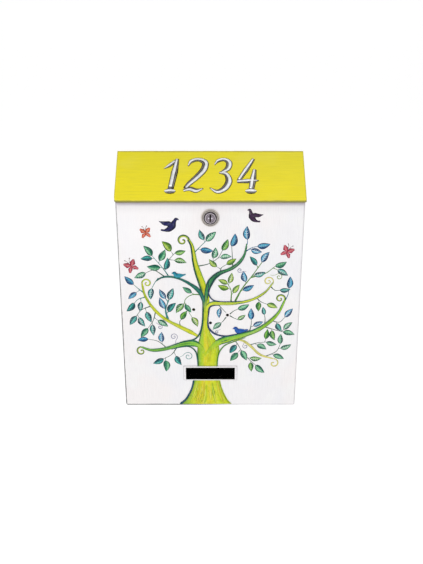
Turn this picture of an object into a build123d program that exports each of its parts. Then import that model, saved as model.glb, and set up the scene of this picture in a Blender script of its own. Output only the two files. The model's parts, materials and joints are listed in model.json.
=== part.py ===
"""Sheet-steel wall mailbox: sloped lid, drop-down front door with a cam lock, name plate.

Frame: +Z up, the front faces -Y, the wall plane is y = 0.
The origin is the centre of the four wall-screw holes in the back.
"""

import os
from math import cos, radians, sin, tan

from build123d import *

os.makedirs("parts", exist_ok=True)

# ---- driving dimensions, mm -------------------------------------------------
SHEET = 0.8                # sheet thickness of body, door, lid and hinge leaves
TOP_Z = 193.3              # highest point, the lid's rear edge
BOTTOM_Z = -188.0          # lowest point, the door's lower edge
BEND_R = 1.6               # outer radius of the folds

DOOR_W = 260.0
DOOR_FACE_Y = -65.0        # outer face of the door
DOOR_SIDE_RETURN = 30.0    # the side returns lap over the body sides
DOOR_TOP_RETURN = 9.0
DOOR_CORNER_R = 3.0
DOOR_RETURN_R = 5.0        # rounding of the side returns' rear corners

LID_W = 263.0
LID_FRONT_Y = -69.0
LID_SLOPE = radians(39.5)  # below level, running forward
LID_LIP = 3.1              # drop of the front lip below the line of the slope
LID_FLANGE = 8.0           # depth of the side flanges, square to the slope
LID_REAR_GAP = 1.0         # from the wall plane to the flanges
LID_LEFT_R = 6.5           # the left front corner is rounder than the right one
LID_RIGHT_R = 3.0
LIP_TO_DOOR = 0.8          # the door's top edge stands this far below the lip

SIDE_GAP = 0.7             # between body side and door return
BODY_BOTTOM_Z = -186.6
BODY_FLANGE = 10.5         # width of the body's inward front flanges
LID_TO_SIDE = 1.2          # from the underside of the lid to the top of the sides
BODY_BACK_TOP = 0.5        # the back ends this far below the lid's pin axis

PIN_R = 1.2
KNUCKLE_BORE_R = 1.25
KNUCKLE_R = 1.95
LEAF_OUT = 2.05            # from the pin axis to the leaf's outer face
LEAF_CUTBACK = 2.5         # between its own knuckles the leaf starts this far from the axis
LEAF_W = 11.0
HINGE_L = 231.0
KNUCKLES = 11
KNUCKLE_GAP = 0.5
DOOR_AXIS_Z = -185.8

WALL_HOLE_R = 3.25
WALL_HOLE_DX = 180.0
WALL_HOLE_DZ = 260.0
TRAY_WALL = 12.0
DRAIN_R = 2.0
DRAIN_DX = 160.0
DRAIN_DY = 28.0
DRAIN_Y = -31.0

CHANNEL_Z = 128.0          # underside of the rain channel
CHANNEL_FRONT = 5.2        # height of its front leg
CHANNEL_REAR = 6.5         # height of its rear leg, which the cam catches
CHANNEL_REAR_Y = -51.5     # rear face of the rear leg
TAB_W = 9.0                # end tabs riveted behind the body's front flanges
TAB_DROP = 16.0

RIVET_R = 1.6
RIVET_HEAD_R = 3.0
RIVET_HEAD_H = 0.9
TRAY_RIVET_Y = (-10.0, -27.0)
TRAY_RIVET_Z = -180.0
TAB_RIVET_X = 122.8
TAB_RIVET_Z = (116.0, 124.0)
HINGE_RIVETS = 5
HINGE_RIVET_PITCH = 50.0
HINGE_RIVET_Z = -180.0

LOCK_Z = 114.1
LOCK_FLAT = 6.9            # from the lock's axis to the flats of its barrel
LOCK_BARREL_R = 7.9
LOCK_CLEAR = 0.1
LOCK_BORE_R = 6.25
LOCK_REAR_Y = -50.4        # end of the lock barrel
TRIM_RING_R = 12.5
TRIM_RING_H = 1.6
BEZEL_R = 8.8
BEZEL_H = 1.5
WASHER_R = 11.0
WASHER_T = 0.6
WASHER_TEETH = 16
NUT_AF = 20.0
NUT_T = 2.6
THREAD_CLEAR = 0.05
PLUG_R = 6.2
PLUG_FACE_Y = -67.9
KEYWAY_W = 1.8
KEYWAY_H = 9.3
KEYWAY_END_Y = -55.0
WAFER_W = 6.0
WAFER_H = 10.6
WAFER_T = 0.6
WAFER_SLOT = 0.05          # clearance all round a wafer
WAFER_PITCH = 2.0
WAFERS = 5
WAFER_FIRST_Y = -65.0
TAIL_W = 6.0
TAIL_END_Y = -48.6
TAP_R = 1.65
TAP_DEPTH = 5.5
CAM_FRONT_Y = -50.2
CAM_T = 1.8
CAM_HUB_R = 7.5
CAM_REACH = 22.0
CAM_W = 11.0
CAM_TIP_R = 3.0
CAM_WASHER_R = 4.0
CAM_WASHER_T = 0.8
SCREW_R = 1.6
SCREW_L = 5.5
SCREW_HEAD_R = 3.7
SCREW_HEAD_H = 2.4

HOLE_R = 2.35              # inspection holes
HOLES = [(-24.2, -25.8), (0.2, -47.3), (25.0, -34.7)]

PLATE_Z = -131.6
PLATE_W = 80.0
PLATE_H = 23.8
PLATE_T = 2.2
PLATE_CORNER_R = 2.0
PLATE_BAR = 3.0            # width of the frame's bars left and right
PLATE_RAIL = 1.6           # width of its rails above and below
PLATE_LAP = 0.8            # how far the window reaches under the frame
PLATE_FIT = 0.1
WINDOW_T = 1.0
CARD_T = 0.4
STUD_R = 0.8
STUD_X = 39.1
STUD_L = 2.8
CLIP_R = 2.6
CLIP_T = 0.5

# ---- derived places ---------------------------------------------------------
slope_y = cos(LID_SLOPE)
slope_z = sin(LID_SLOPE)
lid_axis_y = -SHEET - LEAF_OUT
lid_axis_z = TOP_Z - (LEAF_OUT + SHEET) * slope_y
lid_rear_y = lid_axis_y - (LEAF_OUT + SHEET) * slope_z
lid_front_z = TOP_Z - (lid_rear_y - LID_FRONT_Y) * tan(LID_SLOPE)
lip_z = lid_front_z - LID_LIP

door_inner_y = DOOR_FACE_Y + SHEET
door_top_z = lip_z - LIP_TO_DOOR
door_h = door_top_z - BOTTOM_Z
door_mid_z = (door_top_z + BOTTOM_Z) / 2
door_axis_y = door_inner_y + LEAF_OUT

body_half = DOOR_W / 2 - SHEET - SIDE_GAP
body_inner = body_half - SHEET
body_front_y = door_axis_y + KNUCKLE_BORE_R
sill_y = body_front_y + SHEET          # front of the tray's front wall and of the channel
body_back_top = lid_axis_z - BODY_BACK_TOP
channel_half = body_half - BEND_R      # clear of the body's front bends


def slope_height(y, depth):
    """Height of the line that runs parallel to the lid's top face, depth below it."""
    return lid_front_z + (y - LID_FRONT_Y) * tan(LID_SLOPE) - depth / slope_y


def slope_place(z, depth):
    """The y at which that line reaches height z."""
    return LID_FRONT_Y + (z - lid_front_z + depth / slope_y) / tan(LID_SLOPE)


def hinge_leaf(plane, own_knuckles):
    """One leaf of a piano hinge: the pin axis is the plane's origin, its local x runs along
    the leaf and its local y points to the face that the leaf lies on."""
    pitch = HINGE_L / KNUCKLES
    leaf_mid = (LEAF_OUT + KNUCKLE_BORE_R) / 2
    with BuildPart() as leaf:
        with BuildSketch(plane):
            with Locations(((LEAF_CUTBACK + LEAF_W) / 2, leaf_mid)):
                Rectangle(LEAF_W - LEAF_CUTBACK, SHEET)
        extrude(amount=HINGE_L / 2, both=True)
        for k in own_knuckles:
            place = plane.offset((k + 0.5) * pitch - HINGE_L / 2)
            with BuildSketch(place):
                Circle(KNUCKLE_R)
                with Locations((LEAF_CUTBACK / 2, leaf_mid)):
                    Rectangle(LEAF_CUTBACK, SHEET)
                Circle(KNUCKLE_BORE_R, mode=Mode.SUBTRACT)
            extrude(amount=(pitch - KNUCKLE_GAP) / 2, both=True)
    return leaf.part


def rivets(planes, grip):
    """Rivets of one row. Each plane lies on the seat of a head, with its z pointing out of it;
    grip is the thickness that the shank passes."""
    tail_r = RIVET_HEAD_R * 0.8
    dome_r = (RIVET_HEAD_R**2 + RIVET_HEAD_H**2) / (2 * RIVET_HEAD_H)
    with BuildPart() as row:
        for seat in planes:
            section = Plane(origin=seat.origin, x_dir=seat.x_dir, z_dir=-seat.y_dir)
            with BuildSketch(section):
                with BuildLine():
                    Polyline(
                        (0, RIVET_HEAD_H),
                        (0, -grip - RIVET_HEAD_H),
                        (tail_r, -grip - RIVET_HEAD_H),
                        (tail_r, -grip),
                        (RIVET_R, -grip),
                        (RIVET_R, 0),
                        (RIVET_HEAD_R, 0),
                    )
                    RadiusArc((RIVET_HEAD_R, 0), (0, RIVET_HEAD_H), -dome_r)
                make_face()
            revolve(axis=Axis(seat.origin, seat.z_dir))
    return row.part


def facing(x, y, z, direction):
    """A plane at a point, with its z in the given direction and its y pointing up."""
    return Plane(origin=(x, y, z), x_dir=Vector(0, 0, 1).cross(Vector(direction)), z_dir=direction)


def front(y):
    """The upright plane at this y that looks to the front: its x is X and its y is Z."""
    return Plane.XZ.offset(-y)


# ---- places of the rivets ---------------------------------------------------
tray_rivet_planes = [
    facing(side * body_half, y, TRAY_RIVET_Z, (side, 0, 0)) for side in (-1, 1) for y in TRAY_RIVET_Y
]
tab_rivet_planes = [
    facing(side * TAB_RIVET_X, body_front_y, z, (0, -1, 0)) for side in (-1, 1) for z in TAB_RIVET_Z
]
hinge_rivet_planes = [
    facing((i - (HINGE_RIVETS - 1) / 2) * HINGE_RIVET_PITCH, body_front_y, HINGE_RIVET_Z, (0, -1, 0))
    for i in range(HINGE_RIVETS)
]

# ---- body -------------------------------------------------------------------
# One folded sheet: the back, two sides and the inward flanges at the front.
with BuildPart() as body_shell:
    with BuildSketch(Plane.XY.offset(BODY_BOTTOM_Z)):
        with BuildLine():
            FilletPolyline(
                (body_half - BODY_FLANGE, body_front_y),
                (body_half, body_front_y),
                (body_half, 0),
                (-body_half, 0),
                (-body_half, body_front_y),
                (BODY_FLANGE - body_half, body_front_y),
                radius=BEND_R,
            )
            offset(amount=SHEET, side=Side.LEFT)
        make_face()
    extrude(amount=body_back_top - BODY_BOTTOM_Z)
    # The tops of the sides follow the slope of the lid.
    lid_clear = SHEET + LID_TO_SIDE
    with BuildSketch(Plane.YZ):
        with BuildLine():
            Polyline(
                (slope_place(body_back_top, lid_clear), body_back_top),
                (LID_FRONT_Y, slope_height(LID_FRONT_Y, lid_clear)),
                (LID_FRONT_Y, body_back_top),
                close=True,
            )
        make_face()
    extrude(amount=DOOR_W, both=True, mode=Mode.SUBTRACT)
    # The front flanges end at the height of the rain channel's front leg.
    with Locations((0, body_front_y, CHANNEL_Z + CHANNEL_FRONT)):
        Box(
            2 * (body_half - BEND_R),
            2 * SHEET,
            TOP_Z,
            align=(Align.CENTER, Align.CENTER, Align.MIN),
            mode=Mode.SUBTRACT,
        )
    with Locations(facing(0, 0, 0, (0, 1, 0))):
        with GridLocations(WALL_HOLE_DX, WALL_HOLE_DZ, 2, 2):
            Hole(WALL_HOLE_R, depth=2 * SHEET)
    with Locations(tray_rivet_planes + tab_rivet_planes):
        Hole(RIVET_R, depth=2 * SHEET)
body_shell.part.label = "body_shell"

# The floor stands above its own four walls, which are riveted inside the body's lower edge.
with BuildPart() as bottom_tray:
    with BuildSketch(Plane.XY.offset(BODY_BOTTOM_Z)):
        with Locations((0, (sill_y - SHEET) / 2)):
            Rectangle(2 * body_inner, -SHEET - sill_y)
    extrude(amount=TRAY_WALL)
    fillet(bottom_tray.edges().group_by(Axis.Z)[-1] + bottom_tray.edges().filter_by(Axis.Z), BEND_R)
    offset(amount=-SHEET, openings=bottom_tray.faces().sort_by(Axis.Z)[0])
    with Locations((0, DRAIN_Y, BODY_BOTTOM_Z + TRAY_WALL)):
        with GridLocations(DRAIN_DX, DRAIN_DY, 2, 2):
            Hole(DRAIN_R, depth=2 * SHEET)
    with Locations(tray_rivet_planes + hinge_rivet_planes):
        Hole(RIVET_R, depth=3 * SHEET)
bottom_tray.part.label = "bottom_tray"

# A gutter across the top of the door opening; its rear leg is what the lock cam catches.
with BuildPart() as rain_channel:
    with BuildSketch(Plane.YZ):
        with BuildLine():
            FilletPolyline(
                (sill_y, CHANNEL_Z + CHANNEL_FRONT),
                (sill_y, CHANNEL_Z),
                (CHANNEL_REAR_Y, CHANNEL_Z),
                (CHANNEL_REAR_Y, CHANNEL_Z + CHANNEL_REAR),
                radius=BEND_R,
            )
            offset(amount=SHEET, side=Side.LEFT)
        make_face()
    extrude(amount=channel_half, both=True)
    with BuildSketch(front(sill_y + SHEET)):
        tab_x = channel_half - TAB_W / 2
        tab_z = CHANNEL_Z + (CHANNEL_FRONT - TAB_DROP) / 2
        with Locations((-tab_x, tab_z), (tab_x, tab_z)):
            Rectangle(TAB_W, CHANNEL_FRONT + TAB_DROP)
    extrude(amount=SHEET)
    with Locations(tab_rivet_planes):
        Hole(RIVET_R, depth=3 * SHEET)
rain_channel.part.label = "rain_channel"

tray_rivets = rivets(tray_rivet_planes, 2 * SHEET)
tray_rivets.label = "tray_rivets"

channel_rivets = rivets(tab_rivet_planes, 2 * SHEET)
channel_rivets.label = "channel_rivets"

door_hinge_rivets = rivets(hinge_rivet_planes, 2 * SHEET)
door_hinge_rivets.label = "door_hinge_rivets"

# ---- hinges -----------------------------------------------------------------
lid_axis = (0, lid_axis_y, lid_axis_z)
door_axis = (0, door_axis_y, DOOR_AXIS_Z)
down_the_slope = (0, -slope_y, -slope_z)
own_of_body = range(0, KNUCKLES, 2)
own_of_flap = range(1, KNUCKLES, 2)

# Spot-welded to the inside of the back.
lid_hinge_body_leaf = hinge_leaf(Plane(lid_axis, x_dir=(0, 0, -1), z_dir=(1, 0, 0)), own_of_body)
lid_hinge_body_leaf.label = "lid_hinge_body_leaf"

# Spot-welded to the underside of the lid.
lid_hinge_lid_leaf = hinge_leaf(Plane(lid_axis, x_dir=down_the_slope, z_dir=(-1, 0, 0)), own_of_flap)
lid_hinge_lid_leaf.label = "lid_hinge_lid_leaf"

# Riveted to the front wall of the tray.
with BuildPart() as door_hinge_body_leaf:
    add(hinge_leaf(Plane(door_axis, x_dir=(0, 0, 1), z_dir=(-1, 0, 0)), own_of_body))
    with Locations(hinge_rivet_planes):
        Hole(RIVET_R, depth=2 * SHEET)
door_hinge_body_leaf.part.label = "door_hinge_body_leaf"

# Spot-welded to the inside of the door.
door_hinge_door_leaf = hinge_leaf(Plane(door_axis, x_dir=(0, 0, 1), z_dir=(1, 0, 0)), own_of_flap)
door_hinge_door_leaf.label = "door_hinge_door_leaf"

with BuildPart() as lid_hinge_pin:
    with Locations(Location(lid_axis, (0, 90, 0))):
        Cylinder(PIN_R, HINGE_L)
    chamfer(lid_hinge_pin.edges().filter_by(GeomType.CIRCLE), PIN_R / 4)
lid_hinge_pin.part.label = "lid_hinge_pin"

with BuildPart() as door_hinge_pin:
    with Locations(Location(door_axis, (0, 90, 0))):
        Cylinder(PIN_R, HINGE_L)
    chamfer(door_hinge_pin.edges().filter_by(GeomType.CIRCLE), PIN_R / 4)
door_hinge_pin.part.label = "door_hinge_pin"

# ---- lid --------------------------------------------------------------------
# A shallow cap: the sloped panel, a low front lip and two side flanges.
with BuildPart() as lid_panel:
    rear_cut_z = TOP_Z - (-LID_REAR_GAP - lid_rear_y) / tan(LID_SLOPE)
    with BuildSketch(Plane.YZ):
        with BuildLine():
            Polyline(
                (lid_rear_y, TOP_Z),
                (-LID_REAR_GAP, rear_cut_z),
                (-LID_REAR_GAP, slope_height(-LID_REAR_GAP, LID_FLANGE)),
                (slope_place(lip_z, LID_FLANGE), lip_z),
                (LID_FRONT_Y, lip_z),
                (LID_FRONT_Y, lid_front_z),
                close=True,
            )
        make_face()
    extrude(amount=LID_W / 2, both=True)
    left_corner = lid_panel.edges().filter_by(Axis.Z).group_by(Axis.Y)[0].sort_by(Axis.X)[0]
    fillet(left_corner, LID_LEFT_R)
    right_corner = lid_panel.edges().filter_by(Axis.Z).group_by(Axis.Y)[0].sort_by(Axis.X)[-1]
    fillet(right_corner, LID_RIGHT_R)
    panel_top = lid_panel.faces().filter_by(lambda f: f.normal_at().Z > slope_z).sort_by(SortBy.AREA)[-1]
    fillet(panel_top.edges().filter_by(lambda e: e.center().Z < TOP_Z - 1), BEND_R)
    underside = lid_panel.faces().filter_by(GeomType.PLANE)
    offset(
        amount=-SHEET,
        openings=underside.filter_by(lambda f: f.normal_at().Z < -0.1 or f.normal_at().Y > 0.1),
    )
lid_panel.part.label = "lid_panel"

# ---- door -------------------------------------------------------------------
with BuildPart() as front_door:
    with BuildSketch(front(DOOR_FACE_Y)):
        with Locations((0, door_mid_z)):
            Rectangle(DOOR_W, door_h)
    extrude(amount=-DOOR_SIDE_RETURN)
    face_edges = front_door.faces().sort_by(Axis.Y)[0].edges()
    fillet(face_edges.filter_by(lambda e: e.center().Z > BOTTOM_Z + 1), BEND_R)
    door_rear = front_door.faces().sort_by(Axis.Y)[-1]
    door_foot = front_door.faces().sort_by(Axis.Z)[0]
    offset(amount=-SHEET, openings=[door_rear, door_foot])
    # The top return is shallower than the side returns.
    with Locations((0, DOOR_FACE_Y + DOOR_TOP_RETURN, door_top_z)):
        Box(
            DOOR_W - 2 * SHEET,
            DOOR_SIDE_RETURN,
            4 * SHEET,
            align=(Align.CENTER, Align.MIN, Align.CENTER),
            mode=Mode.SUBTRACT,
        )
    # Notches at its ends let the body sides pass.
    notch_in = channel_half - SIDE_GAP
    notch_out = DOOR_W / 2 - SHEET
    with Locations((0, DOOR_FACE_Y + BEND_R, door_top_z)):
        with GridLocations(notch_in + notch_out, 0, 2, 1):
            Box(
                notch_out - notch_in,
                DOOR_SIDE_RETURN,
                4 * SHEET,
                align=(Align.CENTER, Align.MIN, Align.CENTER),
                mode=Mode.SUBTRACT,
            )
    rear_corners = front_door.edges().filter_by(Axis.X).group_by(Axis.Y)[-1]
    fillet(rear_corners, DOOR_RETURN_R)
    # Rounded lower corners, cut through the face and the returns alike.
    with BuildSketch(front(DOOR_FACE_Y)):
        for side in (-1, 1):
            with BuildLine():
                edge_x = side * DOOR_W / 2
                Line((edge_x, BOTTOM_Z + DOOR_CORNER_R), (edge_x, BOTTOM_Z))
                Line((edge_x, BOTTOM_Z), (edge_x - side * DOOR_CORNER_R, BOTTOM_Z))
                RadiusArc(
                    (edge_x - side * DOOR_CORNER_R, BOTTOM_Z),
                    (edge_x, BOTTOM_Z + DOOR_CORNER_R),
                    -side * DOOR_CORNER_R,
                )
            make_face()
    extrude(amount=-DOOR_SIDE_RETURN, mode=Mode.SUBTRACT)
    # Seat of the lock barrel, with its two flats.
    with BuildSketch(front(DOOR_FACE_Y)):
        with Locations((0, LOCK_Z)):
            Circle(LOCK_BARREL_R + LOCK_CLEAR)
            Rectangle(2 * (LOCK_FLAT + LOCK_CLEAR), 4 * LOCK_BARREL_R, mode=Mode.INTERSECT)
    extrude(amount=-2 * SHEET, mode=Mode.SUBTRACT)
    with BuildSketch(front(DOOR_FACE_Y)):
        with Locations(HOLES):
            Circle(HOLE_R)
        with Locations((-STUD_X, PLATE_Z), (STUD_X, PLATE_Z)):
            Circle(STUD_R + PLATE_FIT)
    extrude(amount=-2 * SHEET, mode=Mode.SUBTRACT)
front_door.part.label = "front_door"

# ---- lock -------------------------------------------------------------------
with BuildPart() as lock_trim_ring:
    with BuildSketch(front(DOOR_FACE_Y)):
        with Locations((0, LOCK_Z)):
            Circle(TRIM_RING_R)
            Circle(LOCK_BARREL_R + LOCK_CLEAR, mode=Mode.SUBTRACT)
    extrude(amount=TRIM_RING_H)
    outer_rim = lock_trim_ring.edges().group_by(Axis.Y)[0].sort_by(SortBy.RADIUS)[-1]
    fillet(outer_rim, TRIM_RING_H / 2)
lock_trim_ring.part.label = "lock_trim_ring"

bezel_y = DOOR_FACE_Y - TRIM_RING_H
with BuildPart() as lock_housing:
    with BuildSketch(front(bezel_y)):
        with Locations((0, LOCK_Z)):
            Circle(LOCK_BARREL_R)
            Rectangle(2 * LOCK_FLAT, 4 * LOCK_BARREL_R, mode=Mode.INTERSECT)
    extrude(amount=bezel_y - LOCK_REAR_Y)
    with BuildSketch(front(bezel_y)):
        with Locations((0, LOCK_Z)):
            Circle(BEZEL_R)
    extrude(amount=BEZEL_H)
    fillet(lock_housing.edges().group_by(Axis.Y)[0], BEZEL_H / 3)
    with Locations(facing(0, bezel_y, LOCK_Z, (0, -1, 0))):
        Hole(LOCK_BORE_R)
lock_housing.part.label = "lock_housing"

with BuildPart() as lock_tooth_washer:
    with BuildSketch(front(door_inner_y + WASHER_T)):
        with Locations((0, LOCK_Z)):
            Circle(WASHER_R)
            with PolarLocations(WASHER_R, WASHER_TEETH):
                Circle(WASHER_R / WASHER_TEETH, mode=Mode.SUBTRACT)
            Circle(LOCK_BARREL_R + LOCK_CLEAR, mode=Mode.SUBTRACT)
    extrude(amount=WASHER_T)
lock_tooth_washer.part.label = "lock_tooth_washer"

with BuildPart() as lock_nut:
    with BuildSketch(front(door_inner_y + WASHER_T + NUT_T)):
        with Locations((0, LOCK_Z)):
            RegularPolygon(NUT_AF / 2, 6, major_radius=False)
            Circle(LOCK_BARREL_R + THREAD_CLEAR, mode=Mode.SUBTRACT)
    extrude(amount=NUT_T)
lock_nut.part.label = "lock_nut"

wafer_places = [(0, WAFER_FIRST_Y + i * WAFER_PITCH, LOCK_Z) for i in range(WAFERS)]
with BuildPart() as lock_plug:
    with BuildSketch(front(CAM_FRONT_Y)):
        with Locations((0, LOCK_Z)):
            Circle(PLUG_R)
    extrude(amount=CAM_FRONT_Y - PLUG_FACE_Y)
    # The square tail that turns the cam.
    with BuildSketch(front(TAIL_END_Y)):
        with Locations((0, LOCK_Z)):
            Rectangle(TAIL_W, TAIL_W)
    extrude(amount=TAIL_END_Y - CAM_FRONT_Y)
    with BuildSketch(front(KEYWAY_END_Y)):
        with Locations((0, LOCK_Z)):
            Rectangle(KEYWAY_W, KEYWAY_H)
    extrude(amount=KEYWAY_END_Y - PLUG_FACE_Y, mode=Mode.SUBTRACT)
    with Locations(wafer_places):
        Box(WAFER_W + 2 * WAFER_SLOT, WAFER_T + 2 * WAFER_SLOT, 3 * PLUG_R, mode=Mode.SUBTRACT)
    with Locations(facing(0, TAIL_END_Y, LOCK_Z, (0, 1, 0))):
        Hole(TAP_R, depth=TAP_DEPTH)
lock_plug.part.label = "lock_plug"

# The wafers stand drawn in, as with the key in, so that the plug is free to turn.
with BuildPart() as lock_wafers:
    with Locations(wafer_places):
        Box(WAFER_W, WAFER_T, WAFER_H)
        Box(KEYWAY_W + 4 * WAFER_SLOT, WAFER_T, KEYWAY_H * 0.7, mode=Mode.SUBTRACT)
lock_wafers.part.label = "lock_wafers"

# The cam hangs down: the door is unlocked. Half a turn brings its tip behind the channel.
cam_rear_y = CAM_FRONT_Y + CAM_T
with BuildPart() as lock_cam:
    with BuildSketch(front(cam_rear_y)) as cam_face:
        with Locations((0, LOCK_Z - CAM_REACH / 2)):
            Rectangle(CAM_W, CAM_REACH)
        fillet(cam_face.vertices().group_by(Axis.Y)[0], CAM_TIP_R)
        with Locations((0, LOCK_Z)):
            Circle(CAM_HUB_R)
            Rectangle(TAIL_W + 2 * THREAD_CLEAR, TAIL_W + 2 * THREAD_CLEAR, mode=Mode.SUBTRACT)
    extrude(amount=CAM_T)
lock_cam.part.label = "lock_cam"

washer_rear_y = cam_rear_y + CAM_WASHER_T
with BuildPart() as cam_washer:
    with BuildSketch(front(washer_rear_y)):
        with Locations((0, LOCK_Z)):
            Circle(CAM_WASHER_R)
            Circle(SCREW_R + LOCK_CLEAR, mode=Mode.SUBTRACT)
        with Locations((0, LOCK_Z + CAM_WASHER_R)):
            Rectangle(CAM_WASHER_T, CAM_WASHER_R * 1.5, rotation=20, mode=Mode.SUBTRACT)
    extrude(amount=CAM_WASHER_T)
cam_washer.part.label = "cam_washer"

with BuildPart() as cam_screw:
    screw_rear_y = washer_rear_y + SCREW_HEAD_H
    with BuildSketch(front(screw_rear_y)):
        with Locations((0, LOCK_Z)):
            Circle(SCREW_HEAD_R)
    extrude(amount=SCREW_HEAD_H)
    fillet(cam_screw.edges().group_by(Axis.Y)[-1], SCREW_HEAD_H / 3)
    with BuildSketch(front(washer_rear_y)):
        with Locations((0, LOCK_Z)):
            Circle(SCREW_R)
    extrude(amount=SCREW_L)
    with BuildSketch(front(screw_rear_y)):
        with Locations((0, LOCK_Z)):
            Rectangle(SCREW_R / 2, 3 * SCREW_R)
            Rectangle(3 * SCREW_R, SCREW_R / 2)
    extrude(amount=SCREW_HEAD_H / 2, mode=Mode.SUBTRACT)
cam_screw.part.label = "cam_screw"

# ---- name plate -------------------------------------------------------------
window_w = PLATE_W - 2 * PLATE_BAR + 2 * PLATE_LAP
window_h = PLATE_H - 2 * PLATE_RAIL + 2 * PLATE_LAP
with BuildPart() as nameplate_frame:
    with BuildSketch(front(DOOR_FACE_Y)):
        with Locations((0, PLATE_Z)):
            RectangleRounded(PLATE_W, PLATE_H, PLATE_CORNER_R)
    extrude(amount=PLATE_T)
    chamfer(nameplate_frame.edges().group_by(Axis.Y)[0], PLATE_T / 4)
    with BuildSketch(front(DOOR_FACE_Y)):
        with Locations((0, PLATE_Z)):
            Rectangle(PLATE_W - 2 * PLATE_BAR, PLATE_H - 2 * PLATE_RAIL)
    extrude(amount=PLATE_T, mode=Mode.SUBTRACT)
    with BuildSketch(front(DOOR_FACE_Y)):
        with Locations((0, PLATE_Z)):
            Rectangle(window_w, window_h)
    extrude(amount=WINDOW_T + CARD_T, mode=Mode.SUBTRACT)
    with BuildSketch(front(DOOR_FACE_Y)):
        with Locations((-STUD_X, PLATE_Z), (STUD_X, PLATE_Z)):
            Circle(STUD_R)
    extrude(amount=-STUD_L)
nameplate_frame.part.label = "nameplate_frame"

with BuildPart() as nameplate_window:
    with BuildSketch(front(DOOR_FACE_Y - CARD_T)):
        with Locations((0, PLATE_Z)):
            Rectangle(window_w - 2 * PLATE_FIT, window_h - 2 * PLATE_FIT)
    extrude(amount=WINDOW_T)
nameplate_window.part.label = "nameplate_window"

with BuildPart() as nameplate_card:
    with BuildSketch(front(DOOR_FACE_Y)):
        with Locations((0, PLATE_Z)):
            Rectangle(window_w - 2 * PLATE_FIT, window_h - 2 * PLATE_FIT)
    extrude(amount=CARD_T)
nameplate_card.part.label = "nameplate_card"

# Push-on clips that hold the frame's studs behind the door.
with BuildPart() as nameplate_clips:
    with BuildSketch(front(door_inner_y + CLIP_T)):
        with Locations((-STUD_X, PLATE_Z), (STUD_X, PLATE_Z)):
            Circle(CLIP_R)
            Circle(STUD_R, mode=Mode.SUBTRACT)
    extrude(amount=CLIP_T)
nameplate_clips.part.label = "nameplate_clips"

# ---- one STEP for each piece ------------------------------------------------
pieces = [
    body_shell.part,
    bottom_tray.part,
    rain_channel.part,
    tray_rivets,
    channel_rivets,
    lid_hinge_body_leaf,
    lid_hinge_pin.part,
    door_hinge_body_leaf.part,
    door_hinge_rivets,
    door_hinge_pin.part,
    lid_panel.part,
    lid_hinge_lid_leaf,
    front_door.part,
    door_hinge_door_leaf,
    lock_trim_ring.part,
    lock_housing.part,
    lock_tooth_washer.part,
    lock_nut.part,
    lock_plug.part,
    lock_wafers.part,
    lock_cam.part,
    cam_washer.part,
    cam_screw.part,
    nameplate_frame.part,
    nameplate_window.part,
    nameplate_card.part,
    nameplate_clips.part,
]
for piece in pieces:
    export_step(piece, f"parts/{piece.label}.step")
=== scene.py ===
"""Looks of the wall mailbox: enamel, a tree painted on the door, digits on the lid, lock and name plate."""
import json
import math
import random

import bpy
import numpy as np
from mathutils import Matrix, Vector


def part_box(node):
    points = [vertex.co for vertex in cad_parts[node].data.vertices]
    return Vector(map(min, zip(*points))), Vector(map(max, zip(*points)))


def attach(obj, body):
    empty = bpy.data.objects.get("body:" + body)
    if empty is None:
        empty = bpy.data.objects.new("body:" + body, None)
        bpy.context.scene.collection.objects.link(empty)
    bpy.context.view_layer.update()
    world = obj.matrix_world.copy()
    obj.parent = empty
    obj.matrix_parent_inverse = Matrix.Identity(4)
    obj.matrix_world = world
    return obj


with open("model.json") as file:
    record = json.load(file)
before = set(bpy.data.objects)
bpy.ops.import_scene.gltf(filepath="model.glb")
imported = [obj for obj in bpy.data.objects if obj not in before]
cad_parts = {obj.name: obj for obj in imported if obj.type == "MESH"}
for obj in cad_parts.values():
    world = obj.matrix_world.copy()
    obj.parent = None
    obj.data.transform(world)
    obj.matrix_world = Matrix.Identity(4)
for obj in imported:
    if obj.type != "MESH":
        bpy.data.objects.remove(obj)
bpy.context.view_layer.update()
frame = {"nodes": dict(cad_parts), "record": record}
nodes = frame["nodes"]
MM = 0.001
rng = random.Random(11)  # the only source of chance


# ---- materials
def rgb(*parts):
    """Red, green and blue of 0 to 255 as linear light."""
    return tuple((c / 255 / 12.92) if c <= 10 else ((c / 255 + 0.055) / 1.055) ** 2.4 for c in parts)


def added(name, data):
    made = bpy.data.objects.new(name, data)
    bpy.context.scene.collection.objects.link(made)
    return made


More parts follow.
